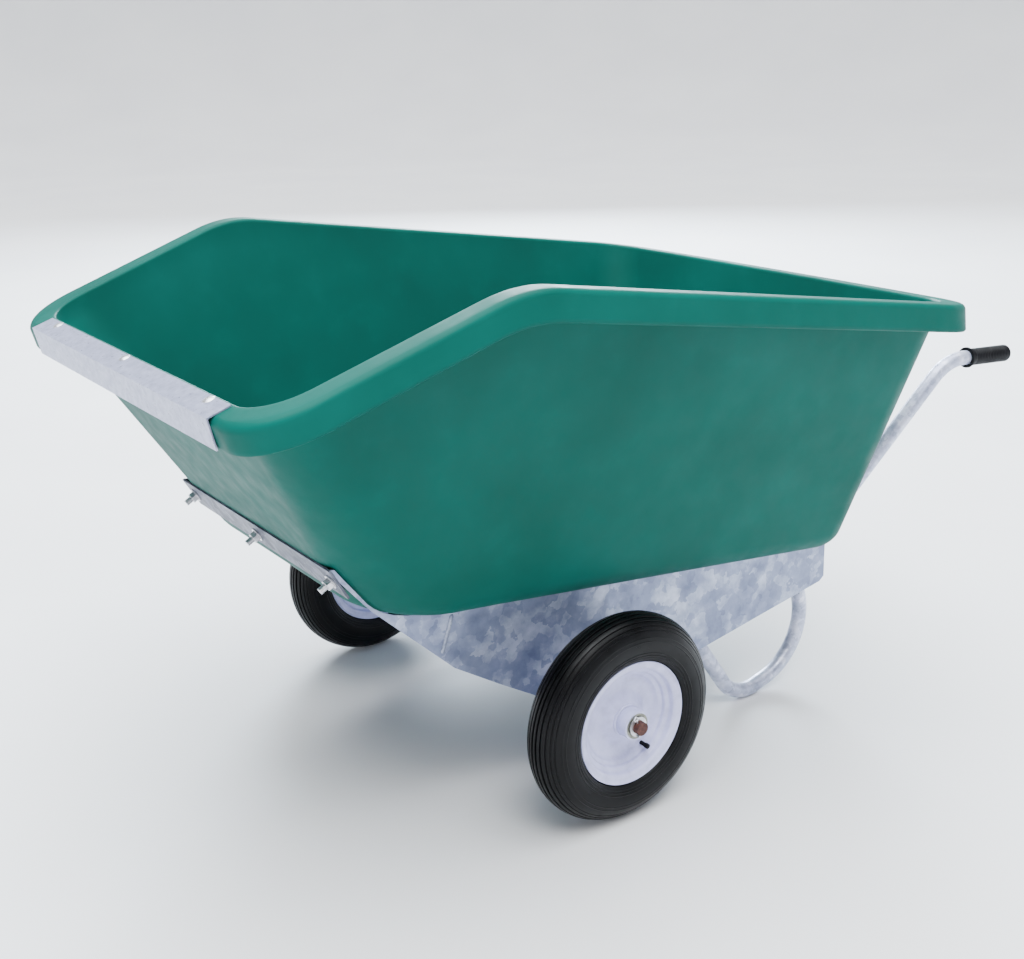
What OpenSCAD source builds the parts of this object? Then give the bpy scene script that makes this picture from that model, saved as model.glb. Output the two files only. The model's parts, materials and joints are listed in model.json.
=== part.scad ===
// Two-wheeled tipping grain cart: a moulded tub on a galvanised frame with barrow wheels.
// +X points to the pouring lip, +Y to the left side, +Z up. The cart stands on z = 0.
// The frame is drawn about the axle with its floor level, then leaned back onto its legs.

/* [Tub] */
// Height of the tub's underside above the axle
floor_z = 203; // [180:1:240]
// Distance from the axle to the front edge of the floor
floor_front_x = 446; // [380:1:500]
// Distance from the axle back to the rear edge of the floor
floor_rear_x = 680; // [600:1:740]
// Width of the floor at its front
floor_front_w = 704; // [670:1:760]
// Width of the floor at its rear
floor_rear_w = 750; // [690:1:820]
// Plan radius of the front corners at the floor
floor_front_r = 155; // [130:1:180]
// Plan radius of the rear corners at the floor
floor_rear_r = 80; // [60:1:110]
// Reach of the rounding between floor and walls
floor_fillet = 45; // [25:1:55]
// Wall thickness
wall_t = 6; // [5:0.5:8]

/* [Rim] */
// Distance from the axle to the lip
lip_x = 772; // [700:1:900]
// Height of the lip above the axle
lip_z = 599; // [560:1:640]
// Distance from the axle to the knee of the rim
knee_x = 339; // [280:1:400]
// Height of the knee above the axle
knee_z = 798; // [700:1:960]
// Distance from the axle back to the rear edge of the rim
rim_rear_x = 784; // [740:1:860]
// Height of the rear rim above the axle
rim_rear_z = 744; // [680:1:800]
// Width over the rim at the lip
rim_front_w = 1036; // [980:1:1240]
// Width over the rim at the knee
rim_knee_w = 1100; // [1040:1:1320]
// Width over the rim at the rear
rim_rear_w = 1124; // [1060:1:1350]
// Plan radius of the rim's front corners
rim_front_r = 110; // [90:1:130]
// Plan radius of the rim's rear corners
rim_rear_r = 141; // [110:1:170]
// How far the rear edge bows out
rear_bow = 25; // [10:1:40]
// Width of the ledge round the rim
ledge_w = 46; // [38:1:60]
// Width of the ledge at the lip
lip_ledge_w = 34; // [30:1:40]
// Height of the turned-down skirt
skirt_h = 52; // [40:1:62]
// How far the skirt flares out at its foot
skirt_flare = 7; // [2:1:12]
// How far the skirt leans in under the lip
lip_lean = 17; // [8:1:22]

/* [Lip guard] */
// Length of the guard
guard_len = 788; // [700:1:800]
// Width of the top leg
guard_top_w = 39; // [36:1:44]
// Height of the front leg
guard_front_h = 49; // [40:1:56]
// Sheet thickness of the guard
guard_t = 2.5; // [2:0.5:4]
// Distance of the bolts from the lip's edge
guard_bolt_in = 26; // [24:1:28]
// Distance between the middle bolt and the end bolts
guard_bolt_pitch = 335; // [300:1:340]

/* [Frame] */
// Width over the side plates
frame_w = 600; // [560:1:620]
// Thickness of the side plates
plate_t = 4; // [3:0.5:6]
// Width of the flange under the floor
flange_w = 40; // [34:1:50]
// Depth of the side plates below the axle
plate_belly = 69; // [60:1:90]
// Height of the side plates at their rear end
plate_rear_h = 98; // [80:1:110]
// Width of the front strap
strap_w = 66; // [56:1:76]
// Thickness of the front strap
strap_t = 4; // [3:0.5:6]
// Distance up the front wall from the floor's edge to the strap's middle
strap_rise = 95; // [90:1:110]
// Distance between the middle strap bolt and the end ones
strap_bolt_pitch = 276; // [256:1:282]
// Width of the floor cross bars
bar_w = 60; // [50:1:80]
// Distance of the cross bars' bolts from the middle
bar_bolt_y = 130; // [100:1:180]

/* [Handles and legs] */
// Outer diameter of the frame tube
tube_d = 32; // [28:0.5:34]
// Wall of the frame tube
tube_wall = 2.5; // [2:0.5:4]
// Slope of the handles up from the frame
handle_pitch = 52.5; // [48:0.5:56]
// Height of the handle bend above the axle
handle_z = 588; // [540:1:620]
// Length of the level end that holds the grip
handle_end = 186; // [170:1:240]
// Rise of the level end
handle_end_pitch = 3; // [0:0.5:6]
// Distance between the grips' ends
grip_spread = 700; // [660:1:780]
// Length of a grip
grip_len = 132; // [110:1:150]
// Outer diameter of a grip
grip_d = 38; // [36:0.5:42]
// Depth of the legs' lower corner below the axle
leg_depth = 143.5; // [130:0.1:160]

/* [Wheels] */
// Outer diameter of the tyres
tyre_d = 400; // [380:1:440]
// Width of the tyres
tyre_w = 94; // [84:1:100]
// Distance between the middles of the tyres
track = 911; // [880:1:960]
// Diameter over the rim's lip
rim_d = 237; // [230:1:240]
// Width over the rim's lips
rim_w = 77; // [72:1:80]
// Sheet thickness of the rim
rim_t = 2; // [1.5:0.5:2.5]
// Outer diameter of the hub tube
hub_d = 56; // [50:1:60]
// Length of the hub tube
hub_len = 98; // [90:1:110]
// Diameter of the bearings' outer ring
bearing_d = 49; // [45:1:52]
// Width of a bearing
bearing_w = 15; // [12:1:18]
// Diameter of the axle
axle_d = 25; // [20:0.5:27]

/* [Hidden] */

// Clearance between pieces that lie against each other
seat = 0.3;
// Clearance between a bolt and its hole
hole_gap = 0.5;
// Running clearance of the bearings on the axle
run_gap = 0.05;
// Facets of a full turn on round pieces
round_fn = 48;
// Overshoot of a cutting tool
cut = 1;

// ---- vectors -------------------------------------------------------------------------

function unit(v) = v / norm(v);

function mix(a, b, k) = a + (b - a) * k;

function left_of(v) = [-v.y, v.x];

// Point where two lines meet, each a point and a direction
function meet(p, u, q, v) = p + u * cross(q - p, v) / cross(u, v);

// Open path moved to its left by d, with mitred corners
function shifted(p, d) = [for (i = [0:len(p) - 1])
    i == 0 ? p[0] + d * left_of(unit(p[1] - p[0])) :
    i == len(p) - 1 ? p[i] + d * left_of(unit(p[i] - p[i - 1])) :
    let (u = unit(p[i] - p[i - 1]), v = unit(p[i + 1] - p[i]))
    meet(p[i] + d * left_of(u), u, p[i] + d * left_of(v), v)];

function reversed(p) = [for (i = [len(p) - 1:-1:0]) p[i]];

// Closed outline of a sheet that follows a path, between two distances to its left
function sheet_outline(p, near, far) = concat(shifted(p, near), reversed(shifted(p, far)));

// Centre of the arc of radius r that rounds the corner p1 of the path p0, p1, p2
function arc_centre(p0, p1, p2, r) =
    let (a = unit(p0 - p1), b = unit(p2 - p1), half = acos(a * b) / 2)
    p1 + unit(a + b) * r / sin(half);

// Points of that arc, n steps, ends included
function arc_points(p0, p1, p2, r, n) =
    let (a = unit(p0 - p1), b = unit(p2 - p1), half = acos(a * b) / 2)
    let (c = p1 + unit(a + b) * r / sin(half), turn = 180 - 2 * half)
    let (s = p1 + a * r / tan(half) - c, e = p1 + b * r / tan(half) - c)
    [for (i = [0:n]) c + (s * sin(turn * (n - i) / n) + e * sin(turn * i / n)) / sin(turn)];

// Point k of the way round a soft corner from a past b to c
function soft_corner(a, b, c, k) =
    let (w = 0.75, p = (1 - k) * (1 - k), q = 2 * w * k * (1 - k), r = k * k)
    (a * p + b * q + c * r) / (p + q + r);

// ---- tub -----------------------------------------------------------------------------

// Fall of the rim to the front and its rise from the rear, per millimetre
front_fall = (knee_z - lip_z) / (lip_x - knee_x);
rear_rise = (knee_z - rim_rear_z) / (rim_rear_x + knee_x);
// Length over which the knee is rounded
knee_blend = 60;

// Height of the rim's top at x
function rim_z(x) =
    let (d = x - knee_x)
    d <= -knee_blend ? knee_z + rear_rise * d :
    d >= knee_blend ? knee_z - front_fall * d :
    knee_z + rear_rise * d - (front_fall + rear_rise) * pow(d + knee_blend, 2) / (4 * knee_blend);

// Radii of the ledge's inner and outer edges
ledge_in_r = 8;
ledge_out_r = 12;

// Front wall: its top edge under the ledge and its slope
wall_top_x = lip_x - lip_ledge_w;
wall_angle = atan2(rim_z(wall_top_x) - wall_t - floor_z, wall_top_x - floor_front_x);
// How far the inner face of the front wall stands back below the rim and at the floor
inset_top = (wall_t / cos(wall_angle) + ledge_in_r - wall_t) / (front_fall + tan(wall_angle));
inset_floor = wall_t / sin(wall_angle) - wall_t / tan(wall_angle);

edge_steps = 2;
corner_steps = 8;

// Half of a plan outline, from the middle of the front to the middle of the rear.
// fx, fw: front edge and half width, kx, kw: knee, rx, rw: rear corner, fr, rr: radii
function half_outline(fx, fw, kx, kw, rx, rw, fr, rr, bow) =
    let (f = [fx, fw], k = [kx, kw], r = [-rx, rw])
    let (rear_way = unit([-bow, -rw / 2]))
    let (front_arc = arc_points([fx, 0], f, k, fr, corner_steps))
    let (rear_arc = arc_points(k, r, r + rear_way * rw / 2, rr, corner_steps))
    let (e = rear_arc[corner_steps])
    concat(
        [for (i = [0:edge_steps - 1]) [fx, front_arc[0].y * i / edge_steps]],
        front_arc,
        [for (d = [knee_blend, knee_blend / 2, 0]) k + unit(f - k) * d],
        [for (d = [knee_blend / 2, knee_blend]) k + unit(r - k) * d],
        [mix(k, rear_arc[0], 0.5)],
        rear_arc,
        [for (i = [1:edge_steps]) [e.x - bow * (1 - pow(1 - i / edge_steps, 2)) * 0.75,
            e.y * (1 - i / edge_steps)]]);

// Whole outline: the half and its mirror image, without the two shared points
function whole(h) = concat(h, [for (i = [len(h) - 2:-1:1]) [h[i].x, -h[i].y]]);

// Plan outline at the rim, out by o from the outer face of the wall, with the lip moved by f
function rim_plan(o, f) = whole(half_outline(
    wall_top_x + (o < 0 ? -inset_top * -o / wall_t : o * lip_ledge_w / ledge_w) + f,
    rim_front_w / 2 - ledge_w + o, knee_x, rim_knee_w / 2 - ledge_w + o,
    rim_rear_x - ledge_w + o, rim_rear_w / 2 - ledge_w + o,
    rim_front_r - ledge_w / 2 + o / 2, rim_rear_r - ledge_w + o, rear_bow));

function rim_ring(o, drop, f = 0) = [for (p = rim_plan(o, f)) [p.x, p.y, rim_z(p.x) - drop]];

// Floor outline, in by d, at height z; front_in is the setback of its front edge
function floor_ring(d, front_in, z) =
    let (kx = floor_front_x / 3, k = (floor_front_x - kx) / (floor_front_x + floor_rear_x))
    let (h = half_outline(floor_front_x - front_in, floor_front_w / 2 - d,
        kx, mix(floor_front_w, floor_rear_w, k) / 2 - d,
        floor_rear_x - d, floor_rear_w / 2 - d,
        floor_front_r - d, max(floor_rear_r - d, 20), rear_bow / 2))
    [for (p = whole(h)) [p.x, p.y, z]];

fillet_steps = 5;

// Rings of the soft corner between the floor and a wall that rises to the ring top
function fillet_rings(d, front_in, z, top) =
    let (a = floor_ring(d + floor_fillet, front_in + floor_fillet, z))
    let (b = floor_ring(d, front_in, z))
    [for (j = [0:fillet_steps]) [for (i = [0:len(b) - 1])
        soft_corner(a[i], b[i], b[i] + unit(top[i] - b[i]) * floor_fillet, j / fillet_steps)]];

outer_fillet = fillet_rings(0, 0, floor_z, rim_ring(0, wall_t));

tub_rings = concat(
    fillet_rings(wall_t, inset_floor, floor_z + wall_t, rim_ring(-wall_t, ledge_in_r)),
    [for (a = [0:30:90]) rim_ring(-wall_t + ledge_in_r * (1 - cos(a)), ledge_in_r * (1 - sin(a)))],
    [for (a = [0:30:90]) rim_ring(ledge_w - ledge_out_r * (1 - sin(a)), ledge_out_r * (1 - cos(a)))],
    [rim_ring(ledge_w + skirt_flare, skirt_h, -lip_lean)],
    [rim_ring(ledge_w + skirt_flare - wall_t, skirt_h, -lip_lean)],
    [rim_ring(ledge_w - wall_t, wall_t)],
    [rim_ring(0, wall_t)],
    reversed(outer_fillet));

// Closed shell through a stack of rings with equal numbers of points. The diagonals of
// the second half mirror those of the first
module ring_shell(rings) {
    n = len(rings[0]);
    m = len(rings);
    points = [for (r = rings) for (p = r) p];
    quads = [for (j = [0:m - 2]) for (i = [0:n - 1])
        [j * n + i, (j + 1) * n + i, (j + 1) * n + (i + 1) % n, j * n + (i + 1) % n]];
    // The flat ends fan out from the middle of the rear edge
    fan = [for (i = [0:n - 1]) if (i != n / 2 && i != n / 2 - 1) [n / 2, i, (i + 1) % n]];
    last = (m - 1) * n;
    faces = concat(
        fan,
        [for (q = quads) q[0] % n < n / 2 ? [q[0], q[1], q[2]] : [q[0], q[1], q[3]]],
        [for (q = quads) q[0] % n < n / 2 ? [q[0], q[2], q[3]] : [q[1], q[2], q[3]]],
        [for (t = fan) [last + t[0], last + t[2], last + t[1]]]);
    polyhedron(points, faces);
}

// ---- stance --------------------------------------------------------------------------

tube_r = tube_d / 2;
plate_in_y = frame_w / 2 - plate_t;
tube_y = plate_in_y - tube_r - seat;

// Leg loop in side view: rear end, rear corner, lower corner, front end
leg_path = [[-630, 144], [-710.8, -61.2], [-493.9, -leg_depth], [-300, 80]];
leg_rear_r = 135;
leg_low_r = 90;
leg_low_c = arc_centre(leg_path[1], leg_path[2], leg_path[3], leg_low_r);

// Lean that sets the legs on the ground while the wheels touch it too
lean = -180 - asin((leg_low_r + tube_r - tyre_d / 2) / norm(leg_low_c))
    - atan2(leg_low_c.y, leg_low_c.x);

// Handle route: end under the floor, rear bend, upper bend, end inside the grip.
// The handle starts clear of the plate, because it splays outwards past its end
handle_in = 4;
tube_z = floor_z - seat - plate_t - seat - tube_r;
handle_low = [-floor_rear_x + 5, tube_y - handle_in, tube_z];
handle_up = handle_low + [-(handle_z - tube_z) / tan(handle_pitch),
    (grip_spread / 2 - handle_low.y) * 0.8, handle_z - tube_z];
handle_tip = [handle_up.x - handle_end, grip_spread / 2,
    handle_up.z + handle_end * tan(handle_end_pitch)];
handle_path = [handle_low + [255, 0, 0], handle_low, handle_up, handle_tip];
handle_low_r = 100;
handle_up_r = 110;

// Front and rear ends of the leaned cart, which centre it on the origin
function leaned_x(p) = p.x * cos(lean) - p.z * sin(lean);
grip_over = 6;
front_end = leaned_x([lip_x + guard_t + seat + ledge_out_r / 3, 0, lip_z]);
grip_end = handle_tip + unit(handle_tip - handle_up) * grip_over;
rear_end = leaned_x(grip_end) - grip_d / 2 * sin(lean - handle_end_pitch);
origin_x = -(front_end + rear_end) / 2;

// Puts a piece drawn about the axle onto the leaned cart
module stand() {
    translate([origin_x, 0, tyre_d / 2]) rotate([0, -lean, 0]) children();
}

// Mirror image for the right-hand side
module on_side(side) {
    if (side > 0) children();
    else mirror([0, 1, 0]) children();
}

// ---- shared shapes -------------------------------------------------------------------

module rod(r, h, z = 0) {
    translate([0, 0, z]) cylinder(r = r, h = h, $fn = round_fn);
}

module ring(r, bore, h, z = 0) {
    translate([0, 0, z]) difference() {
        cylinder(r = r, h = h, $fn = round_fn);
        translate([0, 0, -cut]) cylinder(r = bore, h = h + 2 * cut, $fn = round_fn);
    }
}

// Domed head that stands on z = 0 and rises to h
module dome(r, h) {
    big = (r * r + h * h) / (2 * h);
    intersection() {
        translate([0, 0, h - big]) sphere(r = big, $fn = round_fn);
        cylinder(r = r, h = h, $fn = round_fn);
    }
}

module nut(af, bore, h, z = 0) {
    translate([0, 0, z]) difference() {
        cylinder(d = af / cos(30), h = h, $fn = 6);
        translate([0, 0, -cut]) cylinder(r = bore, h = h + 2 * cut, $fn = round_fn);
    }
}

bend_steps = 8;

// Centres and directions along a bend of radius r at the corner p1
function bend_frames(p0, p1, p2, r) =
    let (u = unit(p1 - p0), v = unit(p2 - p1), turn = acos(u * v), n = bend_steps)
    let (c = arc_points(p0, p1, p2, r, n))
    [for (i = [0:n]) [c[i], (u * sin(turn * (n - i) / n) + v * sin(turn * i / n)) / sin(turn)]];

// Ring of points round a centre and direction
function ring_at(f, r) = let (x = unit(cross([0, 1, 0], f[1])), y = cross(f[1], x))
    [for (a = [0:15:345]) f[0] + r * (x * cos(a) + y * sin(a))];

// Tube along four points, with a bend of radius r1 and one of r2 at the middle two
module bent_tube(p, r1, r2, r, bore) {
    frames = concat([[p[0], unit(p[1] - p[0])]], bend_frames(p[0], p[1], p[2], r1),
        bend_frames(p[1], p[2], p[3], r2), [[p[3], unit(p[3] - p[2])]]);
    rings = concat([for (f = frames) ring_at(f, r)], [for (f = reversed(frames)) ring_at(f, bore)]);
    n = len(rings[0]);
    m = len(rings);
    quads = [for (j = [0:m - 1]) for (i = [0:n - 1]) let (k = (j + 1) % m, h = (i + 1) % n)
        [j * n + i, k * n + i, k * n + h, j * n + h]];
    polyhedron([for (g = rings) for (q = g) q],
        concat([for (q = quads) [q[0], q[1], q[2]]], [for (q = quads) [q[0], q[2], q[3]]]));
}

// ---- fasteners -----------------------------------------------------------------------

// Places children at each bolt of the lip guard, z square to the ledge's top
module at_guard_bolts() {
    fall = atan(front_fall);
    for (y = [-guard_bolt_pitch, 0, guard_bolt_pitch])
        translate([lip_x - guard_bolt_in * cos(fall), y, lip_z + guard_bolt_in * sin(fall)])
            rotate([0, fall, 0]) children();
}

// Places children on the outer face of the front wall, d up from the floor's edge.
// There x runs down the wall and z points outwards
module on_front_wall(d) {
    translate([floor_front_x + d * cos(wall_angle), 0, floor_z + d * sin(wall_angle)])
        rotate([0, 180 - wall_angle, 0]) children();
}

module at_strap_bolts() {
    for (y = [-strap_bolt_pitch, 0, strap_bolt_pitch])
        on_front_wall(strap_rise) translate([0, y, 0]) children();
}

// Depth of the wall under the strap bolt at y
function grip_depth(y) = y == 0 ? wall_t : boss_in;

flange_bolt_x = [290, -20, -330];
flange_bolt_y = plate_in_y - flange_w / 2;
bar_x = [240, -560];

// Places children at each floor bolt on the floor's underside, z up
module at_floor_bolts() {
    for (s = [-1, 1]) {
        for (x = flange_bolt_x) translate([x, s * flange_bolt_y, floor_z]) children();
        for (x = bar_x) translate([x, s * bar_bolt_y, floor_z]) children();
    }
}

// Radii of the bolts, and sizes of their heads, washers and nuts
guard_bolt_r = 4;
strap_bolt_r = 6;
floor_bolt_r = 5;
guard_head_r = 10;
strap_head_r = 15;
floor_head_r = 12;
strap_washer_r = 14;
floor_washer_r = 11;
washer_t = 2.5;

// ---- tub and lip guard ---------------------------------------------------------------

// Moulded bosses that take the end bolts of the strap where the wall turns the corner
boss_r = 17;
boss_in = 20;

module tub() {
    color("#15695B") stand() difference() {
        union() {
            ring_shell(tub_rings);
            for (s = [-1, 1]) on_front_wall(strap_rise) translate([0, s * strap_bolt_pitch, 0])
                rod(boss_r, boss_in, -boss_in);
        }
        at_guard_bolts() rod(guard_bolt_r + hole_gap, 3 * wall_t, -2 * wall_t);
        at_strap_bolts() rod(strap_bolt_r + hole_gap, boss_in + 2 * cut, -boss_in - cut);
        at_floor_bolts() rod(floor_bolt_r + hole_gap, 3 * wall_t, -wall_t);
    }
}

// Skirt under the lip in side view, from below the rounded edge to its foot
skirt_head = [lip_x, lip_z - ledge_out_r];
skirt_foot_x = lip_x + skirt_flare * lip_ledge_w / ledge_w - lip_lean;
skirt_foot = [skirt_foot_x, rim_z(skirt_foot_x) - skirt_h];
// Guard in side view: inner edge on the ledge, corner, foot of the front leg
guard_corner = meet([lip_x, lip_z], [-1, front_fall], skirt_head, skirt_foot - skirt_head);
guard_path = [
    guard_corner + guard_top_w * unit([-1, front_fall]),
    guard_corner,
    guard_corner + guard_front_h * unit(skirt_foot - skirt_head)];

module lip_guard() {
    color("#A6A9BE") stand() difference() {
        rotate([90, 0, 0]) linear_extrude(guard_len, center = true)
            polygon(sheet_outline(guard_path, seat, seat + guard_t));
        at_guard_bolts() rod(guard_bolt_r + hole_gap, 4 * guard_t, -2 * guard_t);
    }
}

module lip_guard_bolts() {
    top = seat + guard_t;
    color("#E8E8F0") stand() at_guard_bolts() {
        translate([0, 0, top]) dome(guard_head_r, 3);
        rod(guard_bolt_r, 2 * wall_t + 10 + top, -2 * wall_t - 10);
    }
}

module lip_guard_nuts() {
    color("#B9BCC6") stand() at_guard_bolts()
        nut(13, guard_bolt_r, 6.5, -wall_t - seat - 6.5 - cut);
}

// ---- frame ---------------------------------------------------------------------------

plate_gap = 2;
plate_rear_x = floor_rear_x + 31;
// The flange ends where the handle starts to rise past it
flange_rear_x = floor_rear_x - 74;
strap_z = [floor_z + (strap_rise - strap_w / 2) * sin(wall_angle),
    floor_z + (strap_rise + strap_w / 2) * sin(wall_angle)];

function wall_x(z) = floor_front_x + (z - floor_z) / tan(wall_angle);

// Point in side view where a ring first reaches out to y
function at_y(ring, y) = [for (i = [0:len(ring) / 2])
    let (a = ring[i], b = ring[i + 1], k = (y - a.y) / (b.y - a.y))
    if (a.y <= y && b.y > y) [mix(a.x, b.x, k), mix(a.z, b.z, k)]][0];

// Ring of the outer wall, k of the way up from the floor's rounding to the rim
function wall_ring(k) = let (a = outer_fillet[fillet_steps], b = rim_ring(0, wall_t))
    [for (i = [0:len(a) - 1]) mix(a[i], b[i], k)];

// Height of the strap's top as a share of the wall above the floor's rounding
nose_top = (strap_z[1] - at_y(wall_ring(0), plate_in_y).y)
    / (at_y(wall_ring(1), plate_in_y).y - at_y(wall_ring(0), plate_in_y).y);

// Nose of the plate round the tub's front corner, from the floor up to the strap's top
nose_path = shifted(concat(
    [for (r = outer_fillet) at_y(r, plate_in_y)],
    [for (i = [1:4]) at_y(wall_ring(nose_top * i / 4), plate_in_y)]), -plate_gap);
plate_nose = concat([[nose_path[0].x, floor_z - seat]], [for (p = nose_path)
    [p.x, min(p.y, floor_z - seat + max(0, p.x - nose_path[0].x) * 4)]]);

// Edge of the plate from the strap's top, under the axle and up its rear end
plate_edge = [
    [wall_x(strap_z[1]) - seat, strap_z[1]],
    [wall_x(strap_z[0] + 28) - seat, strap_z[0] + 28],
    [floor_front_x - 7, floor_z + 18],
    [floor_front_x - 64, floor_z - 25],
    [floor_front_x - 183, floor_z - 118],
    [160, 33],
    [-54, -plate_belly],
    [-356, 7],
    [-plate_rear_x + 12, floor_z - plate_rear_h - 3],
    [-plate_rear_x, floor_z - plate_rear_h + 8],
    [-plate_rear_x + 12, floor_z - seat]];

module side_plate(side) {
    color("#8E93A8") stand() on_side(side) difference() {
        union() {
            translate([0, plate_in_y + plate_t, 0]) rotate([90, 0, 0]) linear_extrude(plate_t)
                polygon(concat(plate_nose, plate_edge));
            translate([-flange_rear_x, plate_in_y - flange_w, floor_z - seat - plate_t])
                cube([flange_rear_x + nose_path[0].x, flange_w + cut, plate_t]);
        }
        translate([0, plate_in_y - cut, 0]) rotate([-90, 0, 0])
            rod(axle_d / 2 + seat, plate_t + 2 * cut);
        for (x = flange_bolt_x) translate([x, flange_bolt_y, floor_z])
            rod(floor_bolt_r + hole_gap, 3 * plate_t, -2 * plate_t);
    }
}

module side_plate_left() { side_plate(1); }
module side_plate_right() { side_plate(-1); }

module front_strap() {
    color("#9CA0B4") stand() difference() {
        on_front_wall(strap_rise) translate([-strap_w / 2, -frame_w / 2, seat])
            cube([strap_w, frame_w, strap_t]);
        at_strap_bolts() rod(strap_bolt_r + hole_gap, 3 * strap_t, -strap_t);
    }
}

module strap_bolts() {
    color("#B9BCC6") stand() on_front_wall(strap_rise)
        for (y = [-strap_bolt_pitch, 0, strap_bolt_pitch]) translate([0, y, 0]) {
            translate([0, 0, -grip_depth(y)]) rotate([180, 0, 0]) dome(strap_head_r, 6);
            rod(strap_bolt_r, grip_depth(y) + strap_t + 26, -grip_depth(y));
        }
}

module strap_washers() {
    color("#C4C7D0") stand() at_strap_bolts()
        ring(strap_washer_r, strap_bolt_r + hole_gap, washer_t, seat + strap_t);
}

module strap_nuts() {
    color("#C4C7D0") stand() at_strap_bolts()
        nut(19, strap_bolt_r, 10, seat + strap_t + washer_t);
}

// Flat bar under the floor between the side plates' flanges
module cross_bar(x) {
    bar_len = 2 * (plate_in_y - flange_w);
    color("#8E93A8") stand() difference() {
        translate([x - bar_w / 2, -bar_len / 2, floor_z - seat - plate_t])
            cube([bar_w, bar_len, plate_t]);
        for (s = [-1, 1]) translate([x, s * bar_bolt_y, floor_z])
            rod(floor_bolt_r + hole_gap, 3 * plate_t, -2 * plate_t);
    }
}

module cross_bar_front() { cross_bar(bar_x[0]); }
module cross_bar_rear() { cross_bar(bar_x[1]); }

module floor_bolts() {
    color("#B9BCC6") stand() at_floor_bolts() {
        translate([0, 0, wall_t]) dome(floor_head_r, 5);
        rod(floor_bolt_r, wall_t + plate_t + 16, -plate_t - 16);
    }
}

module floor_washers() {
    color("#C4C7D0") stand() at_floor_bolts()
        ring(floor_washer_r, floor_bolt_r + hole_gap, washer_t, -seat - plate_t - washer_t);
}

module floor_nuts() {
    color("#C4C7D0") stand() at_floor_bolts()
        nut(16, floor_bolt_r, 8, -seat - plate_t - washer_t - 8);
}

// ---- handles, grips and legs ---------------------------------------------------------

bore_r = tube_r - tube_wall;

module handle_tube(side) {
    color("#A0A4B8") stand() on_side(side)
        bent_tube(handle_path, handle_low_r, handle_up_r, tube_r, bore_r);
}

module handle_tube_left() { handle_tube(1); }
module handle_tube_right() { handle_tube(-1); }

// Places children at the handle's end, z pointing back out of it
module at_handle_tip() {
    z = unit(handle_tip - handle_up);
    x = unit(cross([0, 1, 0], z));
    y = cross(z, x);
    multmatrix([[x.x, y.x, z.x, handle_tip.x], [x.y, y.y, z.y, handle_tip.y],
        [x.z, y.z, z.z, handle_tip.z]]) children();
}

module grip(side) {
    color("#26262B") stand() on_side(side) at_handle_tip() difference() {
        union() {
            rod(grip_d / 2, grip_len, grip_over - grip_len);
            rod(grip_d / 2 + 4, 5, grip_over - grip_len);
        }
        rod(tube_r + seat, grip_len, seat - grip_len);
    }
}

module grip_left() { grip(1); }
module grip_right() { grip(-1); }

module leg_loop(side) {
    p = [for (q = leg_path) [q.x, tube_y, q.y]];
    color("#A0A4B8") stand() on_side(side)
        bent_tube(p, leg_rear_r, leg_low_r, tube_r, bore_r);
}

module leg_loop_left() { leg_loop(1); }
module leg_loop_right() { leg_loop(-1); }

// ---- axle ----------------------------------------------------------------------------

axle_r = axle_d / 2;
hub_out_y = track / 2 + hub_len / 2;
hub_in_y = track / 2 - hub_len / 2;
play = 0.5;
axle_washer_t = 3;
axle_washer_r = 21;
pin_r = 2;
pin_y = hub_out_y + play + axle_washer_t + play + pin_r;
axle_end_y = pin_y + 9;

// Turns children so that their z axis lies along the axle, z = 0 at the middle
module along_axle() {
    rotate([-90, 0, 0]) children();
}

module axle() {
    color("#7C4A3C") stand() difference() {
        along_axle() rod(axle_r, 2 * axle_end_y, -axle_end_y);
        for (s = [-1, 1]) translate([0, s * pin_y, 0]) rotate([0, 30, 0])
            rod(pin_r + hole_gap / 2, 4 * axle_r, -2 * axle_r);
    }
}

module axle_tube() {
    half = plate_in_y - seat;
    color("#8E93A8") stand() along_axle() ring(axle_r + 8, axle_r + seat, 2 * half, -half);
}

module spacer(side) {
    near = frame_w / 2 + seat;
    far = hub_in_y - play - axle_washer_t - seat;
    color("#8E93A8") stand() on_side(side) along_axle()
        ring(axle_r + 5, axle_r + seat, far - near, near);
}

module spacer_left() { spacer(1); }
module spacer_right() { spacer(-1); }

module axle_washers() {
    color("#A6A9BE") stand() for (s = [-1, 1]) on_side(s) along_axle() {
        ring(axle_washer_r, axle_r + seat, axle_washer_t, hub_in_y - play - axle_washer_t);
        ring(axle_washer_r - 2, axle_r + seat, axle_washer_t, hub_out_y + play);
    }
}

// Split pin through the axle's end: an eye on one side and bent legs on the other
module split_pin(side) {
    reach = axle_r + 5;
    color("#C4C7D0") stand() on_side(side) translate([0, pin_y, 0]) rotate([0, 30, 0]) {
        rod(pin_r, 2 * reach, -reach);
        // The eye and the bent foot are drawn a little thinner, so no two surfaces lie together
        translate([0, 0, reach + 3]) rotate([90, 0, 0])
            rotate_extrude($fn = round_fn) translate([4, 0]) circle(0.8 * pin_r, $fn = 16);
        translate([0, 0, pin_r - reach]) rotate([0, 90, 0]) rod(0.9 * pin_r, 10, 0);
    }
}

module split_pin_left() { split_pin(1); }
module split_pin_right() { split_pin(-1); }

// ---- wheels --------------------------------------------------------------------------

tyre_r = tyre_d / 2;
rim_r = rim_d / 2;
// Half height of the tyre's section, its middle radius and its wall
section_h = 52;
section_r = tyre_r - section_h;
tyre_t = 7;

// Radius and offset of the point at angle a on an ellipse inside the tyre's section by d
function section_point(a, d) =
    [section_r + (section_h - d) * cos(a), (tyre_w / 2 - d) * sin(a)];

// Angle at which the section's ellipse meets the rim's lip
bead_angle = acos((rim_r + 3 - section_r) / section_h);
// Lowest radius of the bead, its outer face and its width
seat_r = rim_r - 12;
bead_y = rim_w / 2 - 3.5 - rim_t - seat;
bead_w = 9;

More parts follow.
